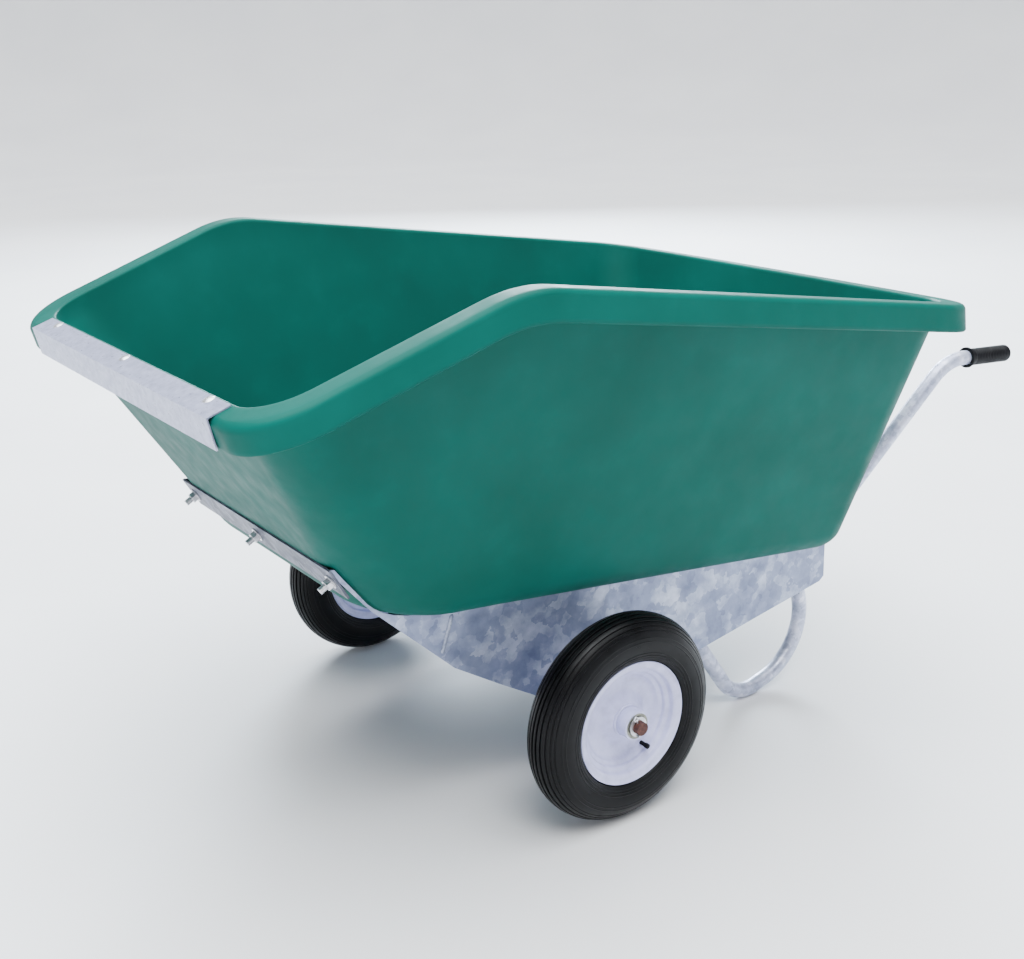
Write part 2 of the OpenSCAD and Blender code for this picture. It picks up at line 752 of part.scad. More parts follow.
// One side of the bead from its inner corner out to the rim's lip
bead_side = [[seat_r, bead_y - bead_w], [seat_r, bead_y - 3], [seat_r + 3, bead_y],
    [rim_r - 3.5, bead_y], [rim_r + 2, rim_w / 2 - 3.5]];

tyre_section = concat(
    [for (p = bead_side) [p.x, -p.y]],
    [for (i = [-14:14]) section_point(bead_angle * i / 14, 0)],
    reversed(bead_side),
    [for (i = [10:-1:-10]) section_point(bead_angle * i / 10, tyre_t)]);

// Turns a profile drawn as radius and offset about the wheel's axis, y outwards
module spun() {
    translate([0, track / 2, 0]) rotate([-90, 0, 0])
        rotate_extrude($fn = 96) children();
}

module tyre(side) {
    color("#1D1D20") stand() on_side(side) spun() polygon(tyre_section);
}

module inner_tube(side) {
    skin = tyre_t + 2 * seat;
    color("#2A2A2C") stand() on_side(side) spun() difference() {
        polygon([for (a = [0:10:350]) section_point(a, skin)]);
        polygon([for (a = [0:10:350]) section_point(a, skin + 2)]);
    }
}

// Pressed half of the rim: lip, bead seat, three steps, disc and cone down to the hub
rim_path = [
    [rim_r, rim_w / 2], [rim_r - 4, rim_w / 2 - 3.5], [rim_r - 13, rim_w / 2 - 3.5],
    [rim_r - 16, rim_w / 2 - 7], [rim_r - 17, 24], [rim_r - 25, 20], [rim_r - 27, 14],
    [rim_r - 34, 10], [rim_r - 38, 4], [rim_r - 42, rim_t + seat], [54, rim_t + seat], [47, 5],
    [hub_d / 2 + 5, 20], [hub_d / 2 + seat, 20]];

valve_r = 4;
valve_at = 80;
valve_turn = 220;
valve_len = 13;
valve_foot = 9;
valve_top = valve_foot + valve_len;

// Places children on the valve's axis, z pointing outwards
module at_valve() {
    rotate([0, valve_turn, 0]) translate([0, track / 2, valve_at]) rotate([-90, 0, 0]) children();
}

module rim_outer(side) {
    color("#C8CCE4") stand() on_side(side) difference() {
        spun() polygon(sheet_outline(rim_path, 0, rim_t));
        at_valve() rod(valve_r + hole_gap, 30);
    }
}

module rim_inner(side) {
    color("#C8CCE4") stand() on_side(side) translate([0, track, 0]) mirror([0, 1, 0])
        spun() polygon(sheet_outline(rim_path, 0, rim_t));
}

module hub_tube(side) {
    step = hub_len / 2 - bearing_w;
    color("#C8CCE4") stand() on_side(side) translate([0, track / 2, 0]) along_axle()
        difference() {
            rod(hub_d / 2, hub_len, -hub_len / 2);
            rod(bearing_d / 2 - 3, hub_len + 2 * cut, -hub_len / 2 - cut);
            rod(bearing_d / 2 + run_gap, bearing_w + cut, step);
            rod(bearing_d / 2 + run_gap, bearing_w + cut, -hub_len / 2 - cut);
        }
}

// Bearing with a groove in its face between the two rings
module bearing(side, out) {
    color("#9A9C98") stand() on_side(side) translate([0, track / 2, 0])
        rotate([out > 0 ? -90 : 90, 0, 0]) translate([0, 0, hub_len / 2 - bearing_w])
        difference() {
            ring(bearing_d / 2, axle_r + run_gap, bearing_w - play / 2);
            ring(bearing_d / 2 - 4, axle_r + 4, 2 * cut, bearing_w - cut - play / 2);
        }
}

module valve_stem(side) {
    color("#1E1E20") stand() on_side(side) at_valve() rod(valve_r, valve_len, valve_foot);
}

module valve_cap(side) {
    color("#151517") stand() on_side(side) at_valve() {
        rod(valve_r + 1, 7, valve_top);
        translate([0, 0, valve_top + 7]) dome(valve_r + 1, 2);
    }
}

module tyre_left() { tyre(1); }
module inner_tube_left() { inner_tube(1); }
module rim_outer_left() { rim_outer(1); }
module rim_inner_left() { rim_inner(1); }
module hub_tube_left() { hub_tube(1); }
module bearing_outer_left() { bearing(1, 1); }
module bearing_inner_left() { bearing(1, -1); }
module valve_stem_left() { valve_stem(1); }
module valve_cap_left() { valve_cap(1); }
module tyre_right() { tyre(-1); }
module inner_tube_right() { inner_tube(-1); }
module rim_outer_right() { rim_outer(-1); }
module rim_inner_right() { rim_inner(-1); }
module hub_tube_right() { hub_tube(-1); }
module bearing_outer_right() { bearing(-1, 1); }
module bearing_inner_right() { bearing(-1, -1); }
module valve_stem_right() { valve_stem(-1); }
module valve_cap_right() { valve_cap(-1); }

tub();
lip_guard();
lip_guard_bolts();
lip_guard_nuts();
side_plate_left();
side_plate_right();
front_strap();
strap_bolts();
strap_washers();
strap_nuts();
cross_bar_front();
cross_bar_rear();
floor_bolts();
floor_washers();
floor_nuts();
handle_tube_left();
handle_tube_right();
grip_left();
grip_right();
leg_loop_left();
leg_loop_right();
axle();
axle_tube();
spacer_left();
spacer_right();
axle_washers();
split_pin_left();
split_pin_right();
tyre_left();
inner_tube_left();
rim_outer_left();
rim_inner_left();
hub_tube_left();
bearing_outer_left();
bearing_inner_left();
valve_stem_left();
valve_cap_left();
tyre_right();
inner_tube_right();
rim_outer_right();
rim_inner_right();
hub_tube_right();
bearing_outer_right();
bearing_inner_right();
valve_stem_right();
valve_cap_right();
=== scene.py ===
"""Looks of a two-wheeled tipping grain cart: moulded tub, galvanised frame, pneumatic wheels."""
import json
import math

import bmesh
import bpy
import numpy as np
from mathutils import Matrix, Vector


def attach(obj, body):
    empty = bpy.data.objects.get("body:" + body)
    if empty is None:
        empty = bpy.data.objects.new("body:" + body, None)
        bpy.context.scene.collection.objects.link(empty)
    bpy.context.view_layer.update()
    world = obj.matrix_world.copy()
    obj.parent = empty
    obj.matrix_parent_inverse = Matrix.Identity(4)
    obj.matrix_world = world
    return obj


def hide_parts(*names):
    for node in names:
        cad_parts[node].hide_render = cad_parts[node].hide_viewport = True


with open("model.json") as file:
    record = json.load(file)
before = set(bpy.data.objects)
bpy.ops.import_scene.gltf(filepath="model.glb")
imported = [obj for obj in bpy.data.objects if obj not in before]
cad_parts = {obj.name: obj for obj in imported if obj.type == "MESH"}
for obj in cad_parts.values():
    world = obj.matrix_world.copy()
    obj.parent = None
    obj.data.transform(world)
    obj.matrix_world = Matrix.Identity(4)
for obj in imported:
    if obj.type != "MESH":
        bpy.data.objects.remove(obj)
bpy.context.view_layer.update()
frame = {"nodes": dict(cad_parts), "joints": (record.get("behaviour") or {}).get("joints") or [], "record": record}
RECORD = frame["record"]
NODES = frame["nodes"]

# ---- where the cart stands -----------------------------------------------------------
# Shapes of the tub and frame are worked out about the axle with the tub's floor level,
# x forward, y left, z up, in metres, and are then leaned back onto the legs.

MOUNTS = {m["name"]: m for m in RECORD["mounts"]}
JOINTS = {j["name"]: j for j in frame["joints"]}
UPRIGHT = MOUNTS["tub_floor"]["axis"]
LEAN = math.atan2(-UPRIGHT[0], UPRIGHT[2])
AXLE = np.array([JOINTS["wheel_left_turn"]["pos_m"][0], 0.0, JOINTS["wheel_left_turn"]["pos_m"][2]])
WHEEL_Y = JOINTS["wheel_left_turn"]["pos_m"][1]

LEAN_TURN = np.array([
    [math.cos(LEAN), 0, -math.sin(LEAN)],
    [0, 1, 0],
    [math.sin(LEAN), 0, math.cos(LEAN)],
])


def leaned(points):
    """Points about the axle turned by the lean and moved to the axle's place."""
    return np.asarray(points, float) @ LEAN_TURN.T + AXLE


# ---- numbers and vectors -------------------------------------------------------------


def unit(v):
    """The vector divided by its length, along the last axis."""
    v = np.asarray(v, float)
    return v / np.linalg.norm(v, axis=-1, keepdims=True)


def lerp(a, b, k):
    """a plus k times the way from a to b."""
    return a + (b - a) * k


def noise_wave(t, seed, waves=5):
    """A sum of sines of t with seeded phases and halving strengths, between about -1 and 1."""
    rng = np.random.default_rng(seed)
    total = np.zeros_like(t)
    for k in range(waves):
        total += np.sin(t * rng.uniform(0.7, 1.4) * 2**k + rng.uniform(0, 6.28)) / 1.6**k
    return total / 2.2


# ---- meshes --------------------------------------------------------------------------


def grid_faces(rows, cols, wrap_rows=False, wrap_cols=False, start=0):
    """Quads over a grid of points numbered row by row, joined round where a side wraps."""
    r = np.arange(rows if wrap_rows else rows - 1)
    c = np.arange(cols if wrap_cols else cols - 1)
    r, c = np.meshgrid(r, c, indexing="ij")
    r2, c2 = (r + 1) % rows, (c + 1) % cols
    quads = np.stack([r * cols + c, r * cols + c2, r2 * cols + c2, r2 * cols + c], -1)
    return (quads.reshape(-1, 4) + start).tolist()


def capped(rows):
    """Faces of a skin of rings, with its first and last rings closed by flat caps."""
    m, n = rows.shape[:2]
    ends = [list(range(n))[::-1], [(m - 1) * n + i for i in range(n)]]
    return grid_faces(m, n, wrap_cols=True) + ends


def piece(name, points, faces, material, body, replaced=(), smooth=40, turn_out=True):
    """A mesh piece at the origin that rides on a body, with edges sharper than smooth degrees kept."""
    mesh = bpy.data.meshes.new(name)
    mesh.from_pydata(np.asarray(points, float).reshape(-1, 3).tolist(), [], faces)
    if turn_out:
        bm = bmesh.new()
        bm.from_mesh(mesh)
        bmesh.ops.recalc_face_normals(bm, faces=bm.faces)
        bm.to_mesh(mesh)
        bm.free()
    mesh.shade_smooth()
    mesh.set_sharp_from_angle(angle=math.radians(smooth))
    mesh.materials.append(material)
    obj = bpy.data.objects.new(name, mesh)
    bpy.context.scene.collection.objects.link(obj)
    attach(obj, body)
    if replaced:
        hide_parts(*replaced)
    return obj


def joined(parts):
    """One list of points and one of faces out of several (points, faces) pairs."""
    points, faces, start = [], [], 0
    for p, f in parts:
        p = np.asarray(p, float).reshape(-1, 3)
        points.append(p)
        faces += [[i + start for i in face] for face in f]
        start += len(p)
    return np.concatenate(points), faces


def softened(name, node, width, material, body, segments=3, angle=32):
    """A CAD node's mesh, merged, its flat faces joined and its edges rounded over by width."""
    mesh = NODES[node].data.copy()
    mesh.name = name
    bm = bmesh.new()
    bm.from_mesh(mesh)
    bmesh.ops.remove_doubles(bm, verts=bm.verts, dist=1e-5)
    bmesh.ops.dissolve_limit(bm, angle_limit=math.radians(1.0), verts=bm.verts, edges=bm.edges)
    bmesh.ops.recalc_face_normals(bm, faces=bm.faces)
    bm.to_mesh(mesh)
    bm.free()
    mesh.materials.clear()
    mesh.materials.append(material)
    mesh.shade_smooth()
    mesh.set_sharp_from_angle(angle=math.radians(50))
    obj = bpy.data.objects.new(name, mesh)
    bpy.context.scene.collection.objects.link(obj)
    mod = obj.modifiers.new("edge", "BEVEL")
    mod.width = width
    mod.segments = segments
    mod.limit_method = "ANGLE"
    mod.angle_limit = math.radians(angle)
    mod.use_clamp_overlap = True
    mod.harden_normals = False
    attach(obj, body)
    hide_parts(node)
    return obj


# ---- materials -----------------------------------------------------------------------


def linear(hex_colour):
    """An sRGB hex colour as linear red, green, blue and alpha."""
    value = [int(hex_colour[i:i + 2], 16) / 255 for i in (1, 3, 5)]
    return [c / 12.92 if c <= 0.04045 else ((c + 0.055) / 1.055) ** 2.4 for c in value] + [1.0]


def add(tree, kind, settings=None, links=None):
    """Adds a node. Settings go to a socket or an attribute of that name, stops to a colour ramp;
    links go from an output, or a node's first output, to a socket."""
    node = tree.nodes.new("ShaderNode" + kind)
    for key, value in (settings or {}).items():
        if key == "stops":
            ramp = node.color_ramp.elements
            for k, (position, colour) in enumerate(value):
                stop = ramp[0] if k == 0 else ramp[-1] if k == len(value) - 1 else ramp.new(position)
                stop.position, stop.color = position, linear(colour)
        elif isinstance(key, str) and hasattr(node, key):
            setattr(node, key, value)
        else:
            node.inputs[key].default_value = value
    for key, source in (links or {}).items():
        tree.links.new(getattr(source, "outputs", [source])[0], node.inputs[key])
    return node


def start_material(name):
    """A new material with no nodes but the place on the object: (material, tree, place)."""
    material = bpy.data.materials.new(name)
    material.use_nodes = True
    tree = material.node_tree
    tree.nodes.clear()
    return material, tree, add(tree, "TexCoord").outputs["Object"]


def per_metre(size_mm):
    """The scale of a pattern whose features are about size_mm across."""
    return 1000 / size_mm


def moulded_polyethylene():
    """Rotationally moulded polyethylene, coloured through: a soft sheen, a fine orange peel,
    slow waves where the wall cooled, a cloudy colour and faint rubbed patches from use."""
    mat, tree, place = start_material("moulded_polyethylene")
    cloud = add(tree, "TexNoise", {"Scale": per_metre(280), "Detail": 4}, {"Vector": place})
    colour = add(tree, "ValToRGB", {"stops": [(0.3, "#00483F"), (0.5, "#004E45"), (0.7, "#00544B")]},
                 {"Fac": cloud})
    scuff = add(tree, "TexNoise", {"Scale": per_metre(70), "Detail": 8, "Roughness": 0.7},
                {"Vector": place})
    rubbed = add(tree, "MapRange", {"From Min": 0.54, "From Max": 0.8, "To Max": 0.09}, {"Value": scuff})
    tint = add(tree, "Mix", {"data_type": "RGBA", 7: linear("#167063")}, {"Factor": rubbed, 6: colour})
    dull = add(tree, "TexNoise", {"Scale": per_metre(40), "Detail": 5}, {"Vector": place})
    rough = add(tree, "MapRange", {"From Min": 0.3, "From Max": 0.7, "To Min": 0.46, "To Max": 0.6},
                {"Value": dull})
    wave = add(tree, "TexNoise", {"Scale": per_metre(150), "Detail": 1}, {"Vector": place})
    waved = add(tree, "Bump", {"Distance": 0.0008, "Strength": 0.6}, {"Height": wave})
    # Orange peel is drawn 4 mm across, coarser than real, so that it shows
    peel = add(tree, "TexNoise", {"Scale": per_metre(4), "Detail": 2}, {"Vector": place})
    skin = add(tree, "Bump", {"Distance": 0.00006, "Strength": 1.0}, {"Height": peel, "Normal": waved})
    shader = add(tree, "BsdfPrincipled", {"IOR": 1.51, "Specular IOR Level": 0.07},
                 {"Base Color": tint.outputs[2], "Roughness": rough, "Normal": skin})
    add(tree, "OutputMaterial", {}, {"Surface": shader})
    return mat


def galvanised(name, stops, flake_mm, metallic, rough):
    """Hot-dip galvanised steel: interlocking zinc crystals, each with its own grey and gloss,
    softened by a cloudy grey skin, with a fine grain over them."""
    mat, tree, place = start_material(name)
    warp = add(tree, "TexNoise", {"Scale": per_metre(flake_mm * 0.8), "Detail": 3}, {"Vector": place})
    push = add(tree, "VectorMath", {"operation": "SCALE", "Scale": flake_mm / 1000 * 1.2},
               {0: warp.outputs["Color"]})
    at = add(tree, "VectorMath", {"operation": "ADD"}, {0: place, 1: push})
    cell = add(tree, "TexVoronoi", {"Scale": per_metre(flake_mm)}, {"Vector": at})
    tone = add(tree, "SeparateColor", {}, {"Color": cell.outputs["Color"]})
    cloud = add(tree, "TexNoise", {"Scale": per_metre(flake_mm * 3), "Detail": 6, "Roughness": 0.6},
                {"Vector": place})
    veil = add(tree, "MapRange", {"From Min": 0.3, "From Max": 0.7, "To Max": 0.62}, {"Value": cloud})
    both = add(tree, "Math", {"operation": "MULTIPLY_ADD", 1: 0.36}, {0: tone, 2: veil})
    colour = add(tree, "ValToRGB", {"stops": stops}, {"Fac": both})
    gloss = add(tree, "MapRange", {"To Min": rough[0], "To Max": rough[1]}, {"Value": tone.outputs[1]})
    facet = add(tree, "Bump", {"Distance": 0.00010, "Strength": 1.0}, {"Height": cell})
    grain = add(tree, "TexNoise", {"Scale": per_metre(6), "Detail": 5}, {"Vector": place})
    skin = add(tree, "Bump", {"Distance": 0.00016, "Strength": 1.0}, {"Height": grain, "Normal": facet})
    shader = add(tree, "BsdfPrincipled", {"Metallic": metallic},
                 {"Base Color": colour, "Roughness": gloss, "Normal": skin})
    add(tree, "OutputMaterial", {}, {"Surface": shader})
    return mat


def zinc_plated(name, low, high, grain_mm, metallic):
    """Electroplated zinc on steel: smooth, bright and faintly mottled where it has been handled."""
    mat, tree, place = start_material(name)
    mottle = add(tree, "TexNoise", {"Scale": per_metre(14), "Detail": 5, "Roughness": 0.65},
                 {"Vector": place})
    colour = add(tree, "ValToRGB", {"stops": [(0.3, low), (0.7, high)]}, {"Fac": mottle})
    smear = add(tree, "TexNoise", {"Scale": per_metre(9), "Detail": 5}, {"Vector": place})
    gloss = add(tree, "MapRange", {"From Min": 0.3, "From Max": 0.7, "To Min": 0.26, "To Max": 0.46},
                {"Value": smear})
    grain = add(tree, "TexNoise", {"Scale": per_metre(grain_mm), "Detail": 3}, {"Vector": place})
    skin = add(tree, "Bump", {"Distance": 0.00003, "Strength": 1.0}, {"Height": grain})
    shader = add(tree, "BsdfPrincipled", {"Metallic": metallic},
                 {"Base Color": colour, "Roughness": gloss, "Normal": skin})
    add(tree, "OutputMaterial", {}, {"Surface": shader})
    return mat


def rusted_bar():
    """Bare hot-rolled bar: brown rust over dark scale, with worn grey high spots."""
    mat, tree, place = start_material("rusted_bar")
    patch = add(tree, "TexNoise", {"Scale": per_metre(7), "Detail": 8, "Roughness": 0.7}, {"Vector": place})
    colour = add(tree, "ValToRGB", {"stops": [(0.3, "#1E0E0B"), (0.48, "#3F1C14"), (0.6, "#572D20"),
                                              (0.75, "#75645D")]}, {"Fac": patch})
    bare = add(tree, "MapRange", {"From Min": 0.5, "From Max": 0.75, "To Max": 0.75}, {"Value": patch})
    gloss = add(tree, "MapRange", {"From Min": 0.4, "From Max": 0.8, "To Min": 0.8, "To Max": 0.4},
                {"Value": patch})
    skin = add(tree, "Bump", {"Distance": 0.0003, "Strength": 1.0}, {"Height": patch})
    shader = add(tree, "BsdfPrincipled", {},
                 {"Base Color": colour, "Metallic": bare, "Roughness": gloss, "Normal": skin})
    add(tree, "OutputMaterial", {}, {"Surface": shader})
    return mat


def black_rubber(name, low, high, rough, grain_mm, depth_mm):
    """Carbon-black rubber from a mould: near black, half glossy, dusty in its hollows."""
    mat, tree, place = start_material(name)
    dust = add(tree, "TexNoise", {"Scale": per_metre(45), "Detail": 7, "Roughness": 0.62}, {"Vector": place})
    colour = add(tree, "ValToRGB", {"stops": [(0.35, low), (0.75, high)]}, {"Fac": dust})
    smear = add(tree, "TexNoise", {"Scale": per_metre(18), "Detail": 5}, {"Vector": place})
    gloss = add(tree, "MapRange", {"From Min": 0.3, "From Max": 0.7, "To Min": rough[0], "To Max": rough[1]},
                {"Value": smear})
    grain = add(tree, "TexNoise", {"Scale": per_metre(grain_mm), "Detail": 4}, {"Vector": place})
    skin = add(tree, "Bump", {"Distance": depth_mm / 1000, "Strength": 1.0}, {"Height": grain})
    shader = add(tree, "BsdfPrincipled", {"IOR": 1.52, "Specular IOR Level": 0.14},
                 {"Base Color": colour, "Roughness": gloss, "Normal": skin})
    add(tree, "OutputMaterial", {}, {"Surface": shader})
    return mat


def powder_coat():
    """Pale lilac-grey powder coat on pressed steel: a satin gloss, a fine orange peel, road dust
    and small dark chips."""
    mat, tree, place = start_material("powder_coat")
    dust = add(tree, "TexNoise", {"Scale": per_metre(30), "Detail": 6, "Roughness": 0.6}, {"Vector": place})
    colour = add(tree, "ValToRGB", {"stops": [(0.3, "#A6A7CC"), (0.5, "#BABBE0"), (0.75, "#C8C9EC")]},
                 {"Fac": dust})
    pit = add(tree, "TexNoise", {"Scale": per_metre(6), "Detail": 6, "Roughness": 0.7}, {"Vector": place})
    chip = add(tree, "MapRange", {"From Min": 0.72, "From Max": 0.75}, {"Value": pit})
    worn = add(tree, "Mix", {"data_type": "RGBA", 7: linear("#5B4A42")}, {"Factor": chip, 6: colour})
    gloss = add(tree, "MapRange", {"From Min": 0.3, "From Max": 0.7, "To Min": 0.42, "To Max": 0.3},
                {"Value": dust})
    peel = add(tree, "TexNoise", {"Scale": per_metre(3), "Detail": 2}, {"Vector": place})
    skin = add(tree, "Bump", {"Distance": 0.00004, "Strength": 1.0}, {"Height": peel})
    shader = add(tree, "BsdfPrincipled", {"IOR": 1.5, "Coat Weight": 0.3, "Coat Roughness": 0.2},
                 {"Base Color": worn.outputs[2], "Roughness": gloss, "Normal": skin})
    add(tree, "OutputMaterial", {}, {"Surface": shader})
    return mat


def ground_steel():
    """Ground bearing steel under a film of oil, in a warm grey with a broken gloss."""
    mat, tree, place = start_material("ground_steel")
    film = add(tree, "TexNoise", {"Scale": per_metre(8), "Detail": 5}, {"Vector": place})
    colour = add(tree, "ValToRGB", {"stops": [(0.3, "#5E5F58"), (0.7, "#9A9B90")]}, {"Fac": film})
    gloss = add(tree, "MapRange", {"From Min": 0.3, "From Max": 0.7, "To Min": 0.3, "To Max": 0.5},
                {"Value": film})
    grain = add(tree, "TexNoise", {"Scale": per_metre(1.5), "Detail": 3}, {"Vector": place})
    skin = add(tree, "Bump", {"Distance": 0.00004, "Strength": 1.0}, {"Height": grain})
    shader = add(tree, "BsdfPrincipled", {"Metallic": 0.85},
                 {"Base Color": colour, "Roughness": gloss, "Normal": skin})
    add(tree, "OutputMaterial", {}, {"Surface": shader})
    return mat


def painted_floor():
    """Matt white paint on a flat floor, faintly uneven in tone."""
    mat, tree, place = start_material("painted_floor")
    tone = add(tree, "TexNoise", {"Scale": per_metre(900), "Detail": 3}, {"Vector": place})
    colour = add(tree, "ValToRGB", {"stops": [(0.3, "#DDDDDF"), (0.7, "#E3E3E4")]}, {"Fac": tone})
    shader = add(tree, "BsdfPrincipled", {"Roughness": 0.9}, {"Base Color": colour})
    add(tree, "OutputMaterial", {}, {"Surface": shader})
    return mat


PLASTIC = moulded_polyethylene()
PLATE_ZINC = galvanised("galvanised_plate", [(0.05, "#656E8A"), (0.5, "#868FAA"), (0.95, "#C2C9DC")],
                        22, 0.5, (0.36, 0.55))
TUBE_ZINC = galvanised("galvanised_tube", [(0.05, "#8C92AA"), (0.5, "#B4B9D0"), (0.95, "#E2E4F2")],
                       12, 0.5, (0.3, 0.5))
WELD_ZINC = galvanised("galvanised_weld", [(0.05, "#6C748A"), (0.5, "#8D94A8"), (0.95, "#B5BBCA")],
                       6, 0.5, (0.36, 0.55))
# The strap is drawn much darker than the plates, though it is the same galvanised steel: painted shade on its
# downward face, which also damps its reflection of the bright floor.
STRAP_ZINC_SHADED = galvanised("galvanised_strap_painted_shade", [(0.05, "#3E414E"), (0.5, "#525564"), (0.95, "#737686")],
                        16, 0.35, (0.4, 0.6))
GUARD_ZINC = zinc_plated("bright_zinc_sheet", "#8589A3", "#A9ADC6", 2.0, 0.4)
BOLT_ZINC = zinc_plated("bright_zinc_bolt", "#B4B4BA", "#E6E5E8", 1.0, 0.9)
RUST = rusted_bar()
TYRE = black_rubber("tyre_rubber", "#020203", "#09090C", (0.3, 0.45), 1.6, 0.05)
BUTYL = black_rubber("butyl_rubber", "#050506", "#0D0D0F", (0.4, 0.6), 3, 0.03)
GRIP = black_rubber("grip_rubber", "#050508", "#101014", (0.4, 0.6), 1.2, 0.06)
COAT = powder_coat()
BEARING = ground_steel()

# ---- tub -----------------------------------------------------------------------------

FLOOR_Z, WALL, FILLET = 0.203, 0.006, 0.045
LIP_X, LIP_Z, KNEE_X, KNEE_Z = 0.772, 0.599, 0.339, 0.798
REAR_X, REAR_Z = 0.784, 0.744
LEDGE, LIP_LEDGE, SKIRT, FLARE, LIP_LEAN = 0.046, 0.034, 0.052, 0.007, 0.017
FRONT_FALL = (KNEE_Z - LIP_Z) / (LIP_X - KNEE_X)
REAR_RISE = (KNEE_Z - REAR_Z) / (REAR_X + KNEE_X)
KNEE_BLEND = 0.060
WALL_TOP_X = LIP_X - LIP_LEDGE
WALL_ANGLE = math.atan2(KNEE_Z - FRONT_FALL * (WALL_TOP_X - KNEE_X) - WALL - FLOOR_Z, WALL_TOP_X - 0.446)
EDGE_IN, EDGE_OUT = 0.008, 0.012
INSET_TOP = (WALL / math.cos(WALL_ANGLE) + EDGE_IN - WALL) / (FRONT_FALL + math.tan(WALL_ANGLE))
INSET_FLOOR = WALL / math.sin(WALL_ANGLE) - WALL / math.tan(WALL_ANGLE)


def rim_height(x):
    """Height of the rim along the cart: two slopes joined at the knee by a parabola."""
    d = x - KNEE_X
    rear, front = KNEE_Z + REAR_RISE * d, KNEE_Z - FRONT_FALL * d
    knee = rear - (FRONT_FALL + REAR_RISE) * (d + KNEE_BLEND) ** 2 / (4 * KNEE_BLEND)
    return np.where(d <= -KNEE_BLEND, rear, np.where(d >= KNEE_BLEND, front, knee))


def corner_arc(p0, p1, p2, radius, n):
    """n + 1 points of the circle that touches both legs of the corner at p1."""
    p0, p1, p2 = (np.asarray(p, float) for p in (p0, p1, p2))
    a, b = unit(p0 - p1), unit(p2 - p1)
    half = math.acos(float(a @ b)) / 2
    centre = p1 + unit(a + b) * radius / math.sin(half)
    turn = math.pi - 2 * half
    s, e = p1 + a * radius / math.tan(half) - centre, p1 + b * radius / math.tan(half) - centre
    k = np.linspace(0, 1, n + 1)[:, None]
    return centre + (s * np.sin(turn * (1 - k)) + e * np.sin(turn * k)) / math.sin(turn)


def half_plan(fx, fw, kx, kw, rx, rw, fr, rr, bow):
    """Plan outline of one side: front edge, corner arc, side with a rounded knee, rear arc, bowed rear."""
    f, k, r = np.array([fx, fw]), np.array([kx, kw]), np.array([-rx, rw])
    front = corner_arc([fx, 0], f, k, fr, 28)
    rear = corner_arc(k, r, r + unit([-bow, -rw / 2]) * rw / 2, rr, 28)
    edge = lerp(np.array([fx, 0]), front[0], np.linspace(0, 1, 14)[:-1, None])
    a, b = k + unit(f - k) * KNEE_BLEND, k + unit(r - k) * KNEE_BLEND
    t = np.linspace(0, 1, 13)[:, None]
    knee = a * (1 - t) ** 2 + k * 2 * t * (1 - t) + b * t**2
    run1 = lerp(front[-1], a, np.linspace(0, 1, 9)[1:-1, None])
    run2 = lerp(b, rear[0], np.linspace(0, 1, 26)[1:-1, None])
    e, t = rear[-1], np.linspace(0, 1, 15)[1:]
    back = np.stack([e[0] - bow * 0.75 * (1 - (1 - t) ** 2), e[1] * (1 - t)], -1)
    return np.concatenate([edge, front, run1, knee, run2, rear, back])


def whole_plan(half):
    """The outline and its mirror image in y, without the two shared points."""
    return np.concatenate([half, half[-2:0:-1] * [1, -1]])


def rim_row(out, drop, forward=0.0):
    """Outline at the rim, moved out from the wall's outer face and down below the ledge's top."""
    fx = WALL_TOP_X + (INSET_TOP * out / WALL if out < 0 else out * LIP_LEDGE / LEDGE) + forward
    plan = whole_plan(half_plan(
        fx, 0.518 - LEDGE + out, KNEE_X, 0.550 - LEDGE + out, REAR_X - LEDGE + out,
        0.562 - LEDGE + out, 0.110 - LEDGE / 2 + out / 2, 0.141 - LEDGE + out, 0.025))
    return np.column_stack([plan, rim_height(plan[:, 0]) - drop])


def floor_row(inward, front_in, z):
    """Outline at the floor, moved in by a distance, at a height."""
    kx = 0.446 / 3
    kw = lerp(0.352, 0.375, (0.446 - kx) / (0.446 + 0.680))
    plan = whole_plan(half_plan(
        0.446 - front_in, 0.352 - inward, kx, kw - inward, 0.680 - inward, 0.375 - inward,
        0.155 - inward, max(0.080 - inward, 0.020), 0.0125))
    return np.column_stack([plan, np.full(len(plan), z)])


def fillet_rows(inward, front_in, z, top, n=12):
    """Rows of the soft corner between the floor and a wall that rises to the row top."""
    a = floor_row(inward + FILLET, front_in + FILLET, z)
    b = floor_row(inward, front_in, z)
    c = b + unit(top - b) * FILLET
    rows, w = [], 0.75
    for k in np.linspace(0, 1, n):
        p, q, r = (1 - k) ** 2, 2 * w * k * (1 - k), k * k
        rows.append((a * p + b * q + c * r) / (p + q + r))
    return rows


def between(a, b, n):
    """n rows evenly between two rows, ends left out."""
    return [lerp(a, b, k) for k in np.linspace(0, 1, n + 2)[1:-1]]


